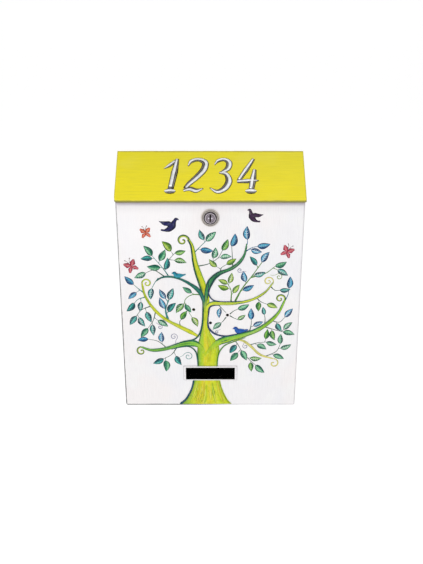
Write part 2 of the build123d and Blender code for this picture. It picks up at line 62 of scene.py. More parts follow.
class Finish:
    """A procedural material on object coordinates, in metres, so that its marks ride with the piece."""

    def __init__(self, name, roughness=0.5, metallic=0.0, specular=0.5):
        self.material = bpy.data.materials.new(name)
        self.material.use_nodes = True
        self.tree = self.material.node_tree
        self.shader = self.tree.nodes["Principled BSDF"]
        settings = {"Roughness": roughness, "Metallic": metallic, "Specular IOR Level": specular}
        for socket, value in settings.items():
            self.shader.inputs[socket].default_value = value
        self.place = self.node("TexCoord").outputs["Object"]
        self.x, self.y, self.z = self.node("SeparateXYZ", {0: self.place}).outputs

    def node(self, kind, inputs=None, **settings):
        made = self.tree.nodes.new("ShaderNode" + kind)
        for key, value in settings.items():
            setattr(made, key, value)
        for key, value in (inputs or {}).items():
            if isinstance(value, bpy.types.NodeSocket):
                self.tree.links.new(value, made.inputs[key])
            else:
                made.inputs[key].default_value = value
        return made

    def noise(self, scale, detail=3.0, rough=0.55, distortion=0.0):
        """Noise between 0 and 1, its scale per metre, one for all axes or one for each."""
        scale = scale if isinstance(scale, tuple) else (scale,) * 3
        at = self.node("VectorMath", {0: self.place, 1: scale}, operation="MULTIPLY").outputs[0]
        return self.node("TexNoise", {"Vector": at, "Scale": 1.0, "Detail": detail, "Roughness": rough,
                                      "Distortion": distortion}).outputs["Fac"]

    def math(self, operation, a, b=0.0, c=0.0):
        return self.node("Math", {0: a, 1: b, 2: c}, operation=operation).outputs[0]

    def times(self, a, b):
        return self.math("MULTIPLY", a, b)

    def minus(self, a, b):
        return self.math("SUBTRACT", a, b)

    def absolute(self, a):
        return self.math("ABSOLUTE", a)

    def weighed(self, a, share_a, b, share_b):
        return self.math("MULTIPLY_ADD", a, share_a, self.times(b, share_b))

    def uneven(self, scale, reach, detail=4):
        """Noise between -reach and reach, to make an edge ragged."""
        return self.math("MULTIPLY_ADD", self.noise(scale, detail=detail), 2 * reach, -reach)

    def step(self, value, low, high, out_high=1.0, out_low=0.0):
        """A smooth step from out_low to out_high, as value goes from low to high."""
        return self.node("MapRange", {0: value, 1: low, 2: high, 3: out_low, 4: out_high},
                         interpolation_type="SMOOTHSTEP").outputs[0]

    def mix(self, share, a, b, mode="MIX"):
        a, b = ((*tone, 1.0) if isinstance(tone, tuple) else tone for tone in (a, b))
        return self.node("Mix", {0: share, 6: a, 7: b}, data_type="RGBA", blend_type=mode).outputs[2]

    def radius(self, x, z):
        """Distance from an axis along Y."""
        dx = self.minus(self.x, x)
        dz = self.minus(self.z, z)
        return self.math("SQRT", self.math("ADD", self.times(dx, dx), self.times(dz, dz)))

    def done(self, colour, rough=None, height=None, distance=0.0, strength=0.5):
        """The material, with its colour and, where it has them, a varied roughness and bumps."""
        links = {"Base Color": colour, "Roughness": rough}
        if height is not None:
            bump = self.node("Bump", {"Height": height, "Distance": distance, "Strength": strength})
            links["Normal"] = bump.outputs[0]
        for name, socket in links.items():
            if socket is not None:
                self.tree.links.new(socket, self.shader.inputs[name])
        return self.material


WHITE = rgb(245, 244, 244)
WHITE_PINK = rgb(245, 241, 241)
WHITE_LILAC = rgb(241, 240, 243)
WHITE_PAINTED_LIGHT = rgb(250, 248, 249)
DUST = rgb(184, 182, 184)
BEND_SHADE_GREY = rgb(58, 56, 58)
LID_SHADOW_TINT = rgb(180, 170, 184)
LOCK_RIM_SHADE = rgb(170, 158, 146)
PLATE_SHADE = rgb(168, 162, 166)
BODY_WHITE = rgb(233, 232, 232)
BODY_PINK = rgb(228, 225, 226)
BODY_LILAC = rgb(222, 223, 227)
PRIMER = rgb(172, 172, 176)
BODY_DUST = rgb(176, 170, 160)
RUST = rgb(150, 104, 66)
YELLOW, YELLOW_REAR_SHADED = rgb(245, 229, 24), rgb(233, 220, 30)
YELLOW_DULL, YELLOW_BRIGHT = rgb(216, 205, 44), rgb(249, 240, 78)
YELLOW_DARK, YELLOW_CLOUD = rgb(205, 190, 40), rgb(236, 226, 96)
OLIVE_REAR_SHADE, OLIVE_ENDS_SHADE, OLIVE_LIP_SHADE = rgb(160, 152, 60), rgb(176, 168, 62), rgb(146, 139, 58)
FILM_DEEP, FILM_THIN = rgb(230, 236, 230), rgb(236, 250, 234)
KEYWAY_SHADE, KEYWAY_HIGHLIGHT = rgb(12, 6, 14), rgb(236, 228, 240)
CARD_BLACK, CARD_WORN = rgb(2, 2, 4), rgb(10, 10, 12)

# distances in metres over which a mark fades in
SHADED_EDGE = (0.0021, 0.0009)
RIGHT_EDGE = (0.0026, 0.0008)
FRONT_FACE = (0.0032, 0.0016)
LID_SHADES = ((0.0190, 0.22), (0.0078, 0.74))  # the painted shadow under the lid: its reach below the lid and strength
BEND_WEAR = (0.0020, 0.0006)
FOOT_WEAR = (0.0028, 0.0008)
RUN_WIDTH, RUN_LENGTH, RUN_TOP = (0.0034, 0.0008), (0.034, 0.003), (-0.0045, -0.0035)
LID_END = (0.0020, 0.0006)
KEYWAY_WIDTH, KEYWAY_HEIGHT, KEYWAY_HIGHLIGHT_REACH = (0.0013, 0.0009), (0.0056, 0.0050), (0.0015, 0.0004)
SPOT_OUT = 0.0022  # the place of a painted highlight beside the keyway
RIM_FADE = 0.0018


def enamel_white(name, streak, tones, marks):
    """White enamel laid on with a broad brush. streak is the scale of its strokes; marks adds wear and
    painted shade.
    """
    f = Finish(name, roughness=0.46, specular=0.35)
    tint = f.noise((14, 14, 11), detail=2)
    strokes = f.noise(streak, detail=5, rough=0.6)
    grain = f.noise(1500, detail=2)
    colour = f.mix(f.step(tint, 0.38, 0.62), tones[1], tones[2])
    colour = f.mix(f.step(f.noise((30, 30, 22), detail=3), 0.45, 0.7), colour, tones[0])
    colour = f.mix(f.step(strokes, 0.30, 0.75, 0.13), colour, DUST)
    colour = f.mix(f.step(grain, 0.35, 0.75, 0.06), colour, DUST)
    colour = marks(f, colour)
    rough = f.step(strokes, 0.2, 0.8, 0.56, 0.38)
    return f.done(colour, rough, f.weighed(strokes, 0.8, grain, 0.2), 0.00022, 0.55)


def door_marks(f, colour):
    """Painted shade on the edges, under the lid, round the lock and the plate; painted light at the top left.
    """
    ragged = f.uneven((40, 40, 90), 0.0008)
    x = f.math("ADD", f.x, ragged)
    z = f.math("ADD", f.z, ragged)
    top_left_light = f.times(f.step(f.x, 0.0, -0.07), f.step(f.z, 0.0, 0.09, 0.45))  # painted light: lighter towards the top left
    colour = f.mix(top_left_light, colour, WHITE_PAINTED_LIGHT)
    # painted shade along the door's bent left, right and bottom edges
    front = f.step(f.y, *(door_low.y + far for far in FRONT_FACE))
    left = f.times(front, f.step(x, *(door_low.x + far for far in SHADED_EDGE)))
    left = f.times(left, f.step(f.z, door_high.z, door_low.z, 1.0, 0.65))
    right = f.times(front, f.step(x, *(door_high.x - far for far in RIGHT_EDGE), 0.28))
    bottom = f.times(front, f.step(z, *(door_low.z + far for far in SHADED_EDGE)))
    bottom = f.times(bottom, f.step(f.x, -0.04, 0.06, 0.16, 1.0))
    for edge in (left, right, bottom):
        colour = f.mix(edge, colour, BEND_SHADE_GREY)
    # painted shadow of the lid on the door's top: a wide faint band and a narrow strong one
    for reach, share in LID_SHADES:
        under = f.step(z, lid_low.z - reach, lid_low.z - 0.0018, share)
        colour = f.mix(under, colour, LID_SHADOW_TINT)
    # painted shade round the lock's trim ring
    ring_edge_shade = f.step(f.radius(0.0, lock_z), ring_r + 0.001, ring_r, 0.3)
    colour = f.mix(ring_edge_shade, colour, LOCK_RIM_SHADE)
    # painted shade round the name plate's frame
    dx = f.minus(f.absolute(f.x), plate_high.x)
    dz = f.minus(f.absolute(f.minus(f.z, plate_mid_z)), (plate_high.z - plate_low.z) / 2)
    plate_rim_shade = f.step(f.math("MAXIMUM", dx, dz), 0.0011, 0.0001, 0.6)
    return f.mix(plate_rim_shade, colour, PLATE_SHADE)


def body_marks(f, colour):
    """Chips down to the primer along the bends, dust low down, and a run of rust under each wall hole."""
    chips = f.step(f.noise((240, 240, 70), detail=6, rough=0.75), 0.54, 0.60)
    across = f.minus(body_high.x, f.absolute(f.x))
    for depth in (f.minus(body_high.y, f.y), f.minus(f.y, body_low.y)):
        bend = f.step(f.math("MAXIMUM", across, depth), *BEND_WEAR)
        colour = f.mix(f.times(bend, chips), colour, PRIMER)
    low = f.minus(f.z, body_low.z)
    colour = f.mix(f.times(f.step(low, *FOOT_WEAR), chips), colour, PRIMER)
    dust = f.times(f.step(low, 0.060, 0.0, 0.45), f.step(f.noise((60, 60, 26), detail=4), 0.3, 0.7))
    colour = f.mix(dust, colour, BODY_DUST)
    for x, z in wall_holes:
        run = f.absolute(f.minus(f.x, x))
        drop = f.minus(z, f.z)
        stain = f.times(f.step(run, *RUN_WIDTH), f.step(drop, *RUN_LENGTH, 0.5))
        stain = f.times(stain, f.step(drop, *RUN_TOP))
        stain = f.times(stain, f.step(f.noise((500, 500, 60), detail=4), 0.35, 0.7))
        colour = f.mix(stain, colour, RUST)
    return colour


def enamel_yellow(name):
    """Bright yellow enamel brushed from side to side, with painted olive shade along its rear edge, ends and
    lip.
    """
    f = Finish(name, roughness=0.4, specular=0.35)
    strokes = f.noise((26, 900, 900), detail=5, rough=0.62)
    fine = f.noise((60, 2600, 2600), detail=3)
    cloud = f.noise((16, 30, 30), detail=2)
    # painted shade: duller yellow towards the rear edge, brighter further down the slope
    middle = f.step(f.z, lid_high.z, lid_low.z + 0.012)
    colour = f.mix(middle, YELLOW_REAR_SHADED, YELLOW)
    colour = f.mix(f.step(strokes, 0.35, 0.72, 0.42), colour, YELLOW_DULL)
    colour = f.mix(f.step(strokes, 0.42, 0.25, 0.35), colour, YELLOW_BRIGHT)
    colour = f.mix(f.step(fine, 0.45, 0.75, 0.22), colour, YELLOW_DARK)
    colour = f.mix(f.step(cloud, 0.5, 0.75, 0.2), colour, YELLOW_CLOUD)
    z = f.math("ADD", f.z, f.uneven(70, 0.0007))
    # painted shade in olive along the lid's rear edge, its two ends and its front lip
    rear = f.step(z, lid_high.z - 0.0018, lid_high.z - 0.0004, 0.75)
    lip = f.step(z, lip_top - 0.0002, lip_top - 0.0018)
    ends = f.step(f.absolute(f.x), *(lid_high.x - far for far in LID_END), 0.55)
    for share, tone in ((rear, OLIVE_REAR_SHADE), (ends, OLIVE_ENDS_SHADE), (lip, OLIVE_LIP_SHADE)):
        colour = f.mix(share, colour, tone)
    rough = f.step(strokes, 0.2, 0.8, 0.5, 0.32)
    return f.done(colour, rough, f.weighed(strokes, 0.8, fine, 0.25), 0.00025, 0.6)


def paint_film(name, gloss=0.42, metallic=0.0, wash=0.3, grain=420):
    """Artist's acrylic: the colour is in the mesh, and the brush's bristles thin it here and there."""
    f = Finish(name, roughness=gloss, metallic=metallic, specular=0.22)
    base = f.node("Attribute", attribute_name="paint").outputs["Color"]
    bristle = f.noise(grain, detail=4, rough=0.65)
    pool = f.noise(160, detail=2)
    deep = f.mix(1.0, base, FILM_DEEP, "MULTIPLY")
    colour = f.mix(f.step(bristle, 0.46, 0.85, wash), base, FILM_THIN)
    colour = f.mix(f.step(pool, 0.52, 0.3, 0.9), colour, deep)
    return f.done(colour, None, bristle, 0.00015)


def ringed_metal(name, light, dark, rings, metallic, roughness, keyway=False, fade=None):
    """Plated metal turned about the lock's axis. rings are broken circles: (radius, half width, strength,
    colour), in millimetres. fade is the colour of the outer rim."""
    f = Finish(name, roughness=roughness, metallic=metallic)
    ring = f.math("ADD", f.radius(0.0, lock_z), f.uneven(500, 0.0006, detail=3))
    turning = f.node("TexWave", {"Vector": f.node("CombineXYZ", {0: ring}).outputs[0], "Scale": 900.0,
                                 "Distortion": 1.5, "Detail": 2.0}).outputs["Fac"]
    cloud = f.noise(420, detail=4)
    blots = f.noise(260, detail=2)
    speck = f.noise(1500, detail=2)
    colour = f.mix(f.step(cloud, 0.3, 0.7), light, tuple(0.6 * c for c in light))
    colour = f.mix(f.step(speck, 0.5, 0.72, 0.6), colour, dark)
    for radius, half, strength, tone in rings:
        off = f.absolute(f.minus(ring, radius * MM))
        band = f.step(off, half * MM, half * MM * 0.35, strength)
        colour = f.mix(f.times(band, f.step(blots, 0.3, 0.5, 1.0, 0.55)), colour, tone)
    if fade is not None:
        colour = f.mix(f.step(ring, ring_r - RIM_FADE, ring_r, 0.6), colour, fade)
    if keyway:
        for side in (-1, 1):  # painted highlights on both sides of the keyway
            spot = f.step(f.radius(side * SPOT_OUT, lock_z), *KEYWAY_HIGHLIGHT_REACH, 0.8)
            colour = f.mix(spot, colour, KEYWAY_HIGHLIGHT)
        # painted shade over the keyway slit and a little round it
        wide = f.step(f.absolute(f.x), *KEYWAY_WIDTH)
        tall = f.step(f.absolute(f.minus(f.z, lock_z)), *KEYWAY_HEIGHT)
        colour = f.mix(f.times(wide, tall), colour, KEYWAY_SHADE)
    rough = f.step(cloud, 0.3, 0.7, roughness * 1.25, roughness * 0.85)
    return f.done(colour, rough, f.weighed(turning, 0.6, speck, 0.5), 0.00006)


def plated(name, light, dark, metallic=0.9, roughness=0.32, scale=260.0):
    """Small plated or mill-finish hardware: cloudy, with fine scratches."""
    f = Finish(name, roughness=roughness, metallic=metallic)
    cloud = f.noise(scale, detail=5, rough=0.6, distortion=0.4)
    scratch = f.noise((90, 2600, 2600), detail=3)
    colour = f.mix(f.step(cloud, 0.32, 0.7), light, dark)
    colour = f.mix(f.step(scratch, 0.55, 0.8, 0.4), colour, tuple(min(1.0, c * 1.15) for c in light))
    return f.done(colour, f.step(cloud, 0.3, 0.75, roughness * 1.35, roughness * 0.75), scratch, 0.00005, 0.6)


def card_black(name):
    f = Finish(name, roughness=0.72, specular=0.15)
    weave = f.noise(1800, detail=4)
    return f.done(f.mix(f.step(weave, 0.4, 0.8), CARD_BLACK, CARD_WORN), None, weave, 0.00005)


def window_clear(name):
    f = Finish(name, roughness=0.06, specular=0.0)
    f.shader.inputs["Transmission Weight"].default_value = 1.0
    f.shader.inputs["IOR"].default_value = 1.05
    smear = f.noise((120, 120, 40), detail=4)
    colour = f.mix(f.step(smear, 0.4, 0.8), (0.97, 0.98, 0.99), (0.90, 0.92, 0.93))
    return f.done(colour, f.step(smear, 0.4, 0.8, 0.12, 0.03))


# ---- places, all read from the frame
door_low, door_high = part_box("front_door")
lid_low, lid_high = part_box("lid_panel")
ring_low, ring_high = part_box("lock_trim_ring")
plate_low, plate_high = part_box("nameplate_frame")
body_low, body_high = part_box("body_shell")
bolts = next(m for m in frame["record"]["mounts"] if m["kind"] == "bolt_pattern")
bolt_dx, bolt_dz = (bolts["dims"][key] * MM / 2 for key in ("spacing_x_mm", "spacing_y_mm"))
wall_holes = [(bolts["pos_m"][0] + i * bolt_dx, bolts["pos_m"][2] + j * bolt_dz)
              for i in (-1, 1) for j in (-1, 1)]
lock_z = (ring_low.z + ring_high.z) / 2
ring_r = (ring_high.x - ring_low.x) / 2
plate_mid_z = (plate_low.z + plate_high.z) / 2
slope = max((p for p in nodes["lid_panel"].data.polygons if 0.5 < p.normal.z < 0.95), key=lambda p: p.area)
slope_normal = slope.normal.copy()
slope_down = Vector((0.0, -slope_normal.z, slope_normal.y))
slope_points = [nodes["lid_panel"].data.vertices[i].co for i in slope.vertices]
slope_rear = max(slope_points, key=lambda p: p.z).copy()
slope_rear.x = 0.0
lip_top = min(p.z for p in slope_points)


def on_door(x, z, height):
    """A point at a height above the door's face, in millimetres."""
    return (x * MM, door_low.y - height * MM, z * MM)


def on_lid(x, down, height):
    """A point at a height above the lid's slope, so far down from its rear edge, in millimetres."""
    across = Vector((x * MM, 0.0, 0.0))
    return tuple(across + slope_rear + slope_down * (down * MM) + slope_normal * (height * MM))


# ---- strokes of paint
def curve(points, per=7):
    """A smooth line through rows of numbers: places, widths or colours."""
    p = np.array(points, float)
    if len(p) < 3:
        t = np.linspace(0, 1, per + 1)[:, None]
        return p[0] * (1 - t) + p[-1] * t
    p = np.vstack([2 * p[0] - p[1], p, 2 * p[-1] - p[-2]])
    t = np.linspace(0, 1, per, endpoint=False)[:, None]
    rows = [
        0.5 * (2 * b + (c - a) * t + (2 * a - 5 * b + 4 * c - d) * t**2 + (3 * b - a - 3 * c + d) * t**3)
        for a, b, c, d in zip(p, p[1:], p[2:], p[3:])
    ]
    return np.vstack([*rows, p[-2:-1]])


SPIRAL_STEPS, SPIRAL_EYE = 20, 0.35


def spiral(centre, start_angle, start_radius, turns, side):
    """A curl that winds in from start_radius, side 1 anticlockwise. Angles in degrees."""
    rows = []
    for i in range(SPIRAL_STEPS + 1):
        t = i / SPIRAL_STEPS
        a = math.radians(start_angle) + side * t * turns * 2 * math.pi
        r = start_radius * (1 - t) ** 0.8 + SPIRAL_EYE * t
        rows.append((centre[0] + r * math.cos(a), centre[1] + r * math.sin(a)))
    return rows


def spread(widths, n):
    """Numbers spread evenly over n points."""
    return np.interp(np.linspace(0, 1, n), np.linspace(0, 1, len(widths)), widths)


def half_across(line, w):
    """From each point of a line to the left edge of a stroke of width w."""
    d = np.gradient(line, axis=0)
    d /= np.maximum(np.linalg.norm(d, axis=1), 1e-9)[:, None]
    return np.c_[-d[:, 1], d[:, 0]] * (w / 2)[:, None]


class Film:
    """One piece of dried paint, built up from closed strokes that lie on a canvas."""

    def __init__(self, name, canvas, body, slot, material):
        self.name, self.canvas, self.body, self.slot, self.material = name, canvas, body, slot, material
        self.vertices, self.faces, self.colours = [], [], []

    def strip(self, left, right, across, layer, dome):
        """A stroke between two edges, in millimetres. across holds its colours from left to right, each of
        them one colour or a row along the stroke. layer is its height above the canvas, dome its crown."""
        left, right = np.array(left, float), np.array(right, float)
        n, m = len(left), len(across)
        u = np.linspace(0, 1, m)
        shades = [np.broadcast_to(np.array(c, float), (n, 3)) for c in across]
        start = len(self.vertices)
        for i in range(n):
            width = float(np.linalg.norm(right[i] - left[i]))
            rise = min(dome, 0.3 * width)
            for j in range(m):
                x, y = left[i] * (1 - u[j]) + right[i] * u[j]
                self.vertices.append(self.canvas(x, y, layer + rise * (1 - (2 * u[j] - 1) ** 2) ** 0.5))
                self.colours.append(shades[j][i])
        for i in range(n - 1):
            a, b = start + i * m, start + (i + 1) * m
            for j in range(m - 1):
                self.faces.append((a + j, a + j + 1, b + j + 1, b + j))
            self.faces.append((a + m - 1, a, b, b + m - 1))
        self.faces.append(tuple(start + j for j in reversed(range(m))))
        self.faces.append(tuple(start + (n - 1) * m + j for j in range(m)))

    def stroke(self, points, widths, across, layer, dome=0.12, per=7):
        """A stroke along a line: widths and colours are spread evenly over it."""
        line = curve(points, per)
        side = half_across(line, spread(widths, len(line)))
        self.strip(line + side, line - side, across, layer, dome)
        return line

    def build(self):
        mesh = bpy.data.meshes.new(self.name)
        mesh.from_pydata(self.vertices, [], self.faces)
        attribute = mesh.color_attributes.new("paint", "FLOAT_COLOR", "POINT")
        rgba = np.c_[np.array(self.colours, np.float32), np.ones(len(self.colours), np.float32)]
        attribute.data.foreach_set("color", rgba.ravel())
        mesh.validate()
        mesh.polygons.foreach_set("use_smooth", [True] * len(mesh.polygons))
        mesh.materials.append(self.material)
        mesh.update()
        made = added(self.name, mesh)
        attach(made, self.body)


def blend(a, b, t):
    return np.array(a) * (1 - t) + np.array(b) * t


def wash(colour, amount=0.1):
    """The same colour, mixed a little lighter or darker."""
    k = 1 + rng.uniform(-amount, amount)
    return np.clip(np.array(colour) * k, 0, 1)


LIME = rgb(186, 206, 22)
LIME_LIGHT = rgb(212, 218, 36)
YELLOW_PALE = rgb(228, 224, 140)
OCHRE = rgb(214, 204, 34)
MOSS = rgb(110, 165, 45)
GRASS = rgb(160, 204, 48)
LEAF_OLIVE = rgb(128, 165, 60)
LEAF_TEAL = rgb(48, 148, 140)
LEAF_BLUE = rgb(36, 120, 172)
DARK_TEAL = rgb(16, 84, 88)
DARK_GREEN = rgb(30, 92, 50)
GREEN_EDGE = rgb(84, 150, 48)
STEM_SHADE = rgb(36, 112, 44)
NAVY = rgb(28, 28, 92)
TWIG = rgb(98, 118, 96)
LILAC = rgb(134, 136, 166)

tree_paint = paint_film("acrylic_tree", wash=0.2, grain=(700, 700, 160))
leaf_paint = paint_film("acrylic_leaf", wash=0.42)
figure_paint = paint_film("acrylic_figure", wash=0.15)

door_films = trunk, branches, leaves, tendrils, birds, butterflies = [
    Film("painted_" + name, on_door, "door", "door_paint", paint) for name, paint in (
        ("trunk", tree_paint), ("branches", tree_paint), ("leaves", leaf_paint), ("tendrils", tree_paint),
        ("birds", figure_paint), ("butterflies", figure_paint))]

HOLES = ((-24.2, -25.8), (0.2, -47.3), (25.0, -34.7))  # the door's inspection holes
# from a hole's middle, beyond the lock's ring, beside the plate, and above and below the plate's middle
HOLE_CLEAR, LOCK_CLEAR, PLATE_CLEAR, PLATE_HALF = 4.6, 3, 1.5, 14.5
SIDE_MAX, LOWEST, HIGHEST = 125, -180, 130


def is_clear(points):
    """Whether paint here stays off the lock, the name plate, the inspection holes and the door's edges."""
    for x, z in points:
        at_hole = any(math.hypot(x - a, z - b) < HOLE_CLEAR for a, b in HOLES)
        at_lock = math.hypot(x, z - lock_z / MM) < ring_r / MM + LOCK_CLEAR
        at_plate = abs(x) < plate_high.x / MM + PLATE_CLEAR and abs(z - plate_mid_z / MM) < PLATE_HALF
        if at_hole or at_lock or at_plate or abs(x) > SIDE_MAX or not LOWEST < z < HIGHEST:
            return False
    return True


# ---- the painted tree
occupied = []  # (x, z, radius) of what later leaves keep clear of


def room_for(points, margin):
    return all(math.hypot(x - a, z - b) > r + margin for x, z in points for a, b, r in occupied)


# rim, body and light of the leaves' colours: a leaf takes its own family's row or the one beside it
BLUE, TEAL, SEA, GREEN, OLIVE = range(5)
LEAF_TONES = (
    (rgb(2, 48, 100), rgb(4, 106, 160), rgb(84, 184, 216)),
    (rgb(2, 54, 72), rgb(6, 116, 122), rgb(78, 190, 176)),
    (rgb(6, 84, 74), rgb(40, 142, 102), rgb(138, 208, 158)),
    (rgb(14, 84, 44), rgb(56, 146, 52), rgb(148, 204, 84)),
    (rgb(50, 104, 24), rgb(112, 164, 36), rgb(190, 214, 86)),
)
LEAF_GROUND, LEAF_FILL, LEAF_VEIN = 0.04, 0.1, 0.17  # heights of a leaf's coats above the door
VEINS_WHITE, VEINS_LIGHT = 0.35, 0.65  # the share of leaves with white veins, and with those or light ones


def leaf(foot, heading, length, fat, family):
    """A pointed leaf on its foot, heading in degrees. False if it finds no room."""
    tones = LEAF_TONES[min(max(family + rng.choice((-1, 0, 0, 0, 1)), 0), len(LEAF_TONES) - 1)]
    a = math.radians(heading)
    along, across = np.array([math.cos(a), math.sin(a)]), np.array([-math.sin(a), math.cos(a)])
    bend = rng.uniform(-0.09, 0.09) * length
    foot = np.array(foot, float)
    t = np.linspace(0, 1, 13)
    middle = foot + np.outer(t * length, along) + np.outer(4 * bend * t * (1 - t), across)
    body_points = [middle[3], middle[6], middle[9], middle[12]]
    sides = [middle[6] + across * fat, middle[6] - across * fat]
    if not is_clear([middle[0], *body_points, *sides]) or not room_for(body_points, fat * 0.75):
        return False
    occupied.extend((*middle[k], fat * 0.75) for k in (3, 6, 9))
    rim, body, light = (wash(t) for t in tones)
    shape = np.sin(math.pi * t**0.85) ** rng.uniform(0.7, 0.95) * (1 - 0.25 * t)
    half = np.maximum(fat * shape, 0.14)[:, None]
    shade = np.array([blend(rim, body, 0.1 + 0.5 * k) for k in t])
    ground = [rim, shade, shade, shade, rim]
    leaves.strip(middle + across * half, middle - across * half, ground, LEAF_GROUND, 0.08)
    lean = rng.choice((-1, 1))
    inner = np.maximum(half * 0.72 - 0.1, 0.06)[1:-1]
    centre = (middle + across * half * 0.15 * lean)[1:-1]
    glow = np.array([blend(body, light, 0.2 + 0.6 * math.sin(math.pi * k)) for k in t[1:-1]])
    fill = [shade[1:-1], glow, glow, body, rim]
    leaves.strip(centre + across * inner, centre - across * inner, fill[::lean], LEAF_FILL, 0.06)
    kind = rng.random()
    bold = 1.5 if kind < VEINS_WHITE else 1.0
    if kind < VEINS_LIGHT:
        vein = blend(light, (1, 1, 1), 0.7 if kind < VEINS_WHITE else 0.3)
    else:
        vein = blend(rim, body, 0.2)
    leaves.stroke(middle[1:-1:2], [0.6 * bold, 0.5 * bold, 0.2], [vein] * 3, LEAF_VEIN, 0.04, per=2)
    for k in (3, 5, 7):
        for side in (-1, 1):
            end = middle[k] + (along * 1.9 + across * side * half[k][0] * 0.62)
            leaves.stroke([middle[k], end], [0.45 * bold, 0.2 * bold], [vein] * 3, LEAF_VEIN, 0.03, per=2)
    return True


TWIG_LAYER = 0.02


def twig(points, width, tone):
    tones = [blend(tone, DARK_TEAL, 0.6), blend(tone, DARK_TEAL, 0.3), tone]
    widths = [width * 1.6, width, width * 0.75, width * 0.6]
    return tendrils.stroke(points, widths, tones, TWIG_LAYER, 0.07, per=5)


def heading_of(a, b):
    return math.degrees(math.atan2(b[1] - a[1], b[0] - a[0]))


# how the leaf at a twig's end may be turned and scaled, best first
TIP_TURNS = ((0, 1.08), (18, 1.0), (-18, 1.0), (36, 0.9), (-36, 0.9), (0, 0.75), (60, 0.8), (-60, 0.8))
LEAF_SPREAD = 50  # degrees between a leaf and its twig


def spray(points, family, leaf_count, size, width=1.2, tone=TWIG, tip=True):
    """A twig with leaves on alternate sides and at its end. A leaf without room is turned, then left out."""
    line = twig(points, width, tone)
    if tip:
        heading = heading_of(line[-3], line[-1])
        any(leaf(line[-1], heading + turn, size * share, size * 0.28 * share, family)
            for turn, share in TIP_TURNS)
    n = len(line)
    for i in range(leaf_count):
        k = min(int((0.3 + 0.62 * i / max(leaf_count - 1, 1)) * (n - 1)), n - 2)
        heading = heading_of(line[k], line[k + 1])
        first = 1 if i % 2 else -1
        for attempt in range(10):
            side = first if attempt < 7 else -first
            turn = heading + side * (LEAF_SPREAD + rng.uniform(-12, 12) + 3 * attempt)
            stalk = rng.uniform(2.0, 4.0) + 0.5 * attempt
            a = math.radians(turn)
            foot = (line[k][0] + stalk * math.cos(a), line[k][1] + stalk * math.sin(a))
            long = size * rng.uniform(0.92, 1.12)
            if leaf(foot, turn + side * rng.uniform(-12, 8), long, long * rng.uniform(0.255, 0.31), family):
                twig([line[k], foot], width * 0.7, tone)
                break


LIMB_DOME = 0.3


def limb(points, widths, upper, body, lower, dark=DARK_TEAL, dark_side=1, layer=0.06, merge=0.0):
    """A branch with a dark outline along one side and a fainter one along the other. Over merge of its length
    it passes from the trunk's colours to its own."""
    line = curve(points, 9)
    n = len(line)
    along = np.linspace(0, 1, n)
    w = spread(widths, n)
    w *= 1 + 0.07 * np.sin(along * 17 + widths[0]) + 0.05 * np.sin(along * 41)
    side = half_across(line, w)
    drift = spread(curve([[rng.random()] for _ in range(9)], 12)[:n, 0], n)
    own = np.clip(along / max(merge, 1e-6), 0, 1)
    ramp = [upper, blend(upper, body, 0.6), body, blend(body, lower, 0.3), blend(body, lower, 0.7), lower]
    across = [np.array([blend(blend(LIME, OCHRE, 0.3 * k), blend(c, body, 0.45 * k), o)
                        for k, o in zip(drift, own)]) for c in ramp]
    branches.strip(line + side, line - side, across, layer, LIMB_DOME)
    start = int(0.75 * merge * n)
    for edge_side, share, tone in ((dark_side, 1.0, dark), (-dark_side, 0.6, blend(dark, lower, 0.2))):
        mark = [p + edge_side * q * 0.86 for p, q in zip(line, side)][start:]
        thick = [share * max(0.8, 0.3 * x * (0.6 + 0.7 * k)) for x, k in zip(w, drift)][start:]
        thick[0] = 0.3
        tones = [tone, blend(tone, upper, 0.3), upper]
        branches.stroke(mark[::3], thick[::3], tones, layer + LIMB_DOME * 0.7, 0.08, per=3)
    for _ in range(5):  # bristle marks along the branch
        low = rng.randrange(start, max(start + 1, n - 16))
        high, u = min(n, low + rng.randrange(10, 26)), rng.uniform(-0.5, 0.6)
        streak = rng.choice((lower, blend(body, (1, 1, 0.6), 0.25), upper, dark))
        branches.stroke(line[low:high:2] + side[low:high:2] * u, [0.2, 0.1 * w[low] + 0.3, 0.2], [streak] * 3,
                        layer + LIMB_DOME, 0.05, per=2)
    occupied.extend((*line[k], w[k] / 2) for k in range(0, n, 4))


def curl(centre, start_angle, radius, turns, side, widths, tones, film=branches, layer=0.06, stalk=()):
    """A stroke that winds in, at the end of its stalk. tones run from its outer edge to its inner one."""
    line = [*stalk, *spiral(centre, start_angle, radius, turns, side)]
    film.stroke(line, widths, tones[::-side], layer, 0.16, per=2)
    occupied.append((*centre, radius))


def stalk_of(centre, start_angle, radius, side):
    """Points that lead into a curl, bending the other way."""
    a = math.radians(start_angle)
    out, back = np.array([math.cos(a), math.sin(a)]), side * np.array([math.sin(a), -math.cos(a)])
    return [tuple(np.array(centre) + radius * (out * share + back * length))
            for share, length in ((1.75, 1.9), (1.25, 1.3), (1.02, 0.6))]


door_edge = door_low.z / MM + 1.7
plate_bottom, plate_top = plate_low.z / MM - 0.3, plate_high.z / MM + 0.3

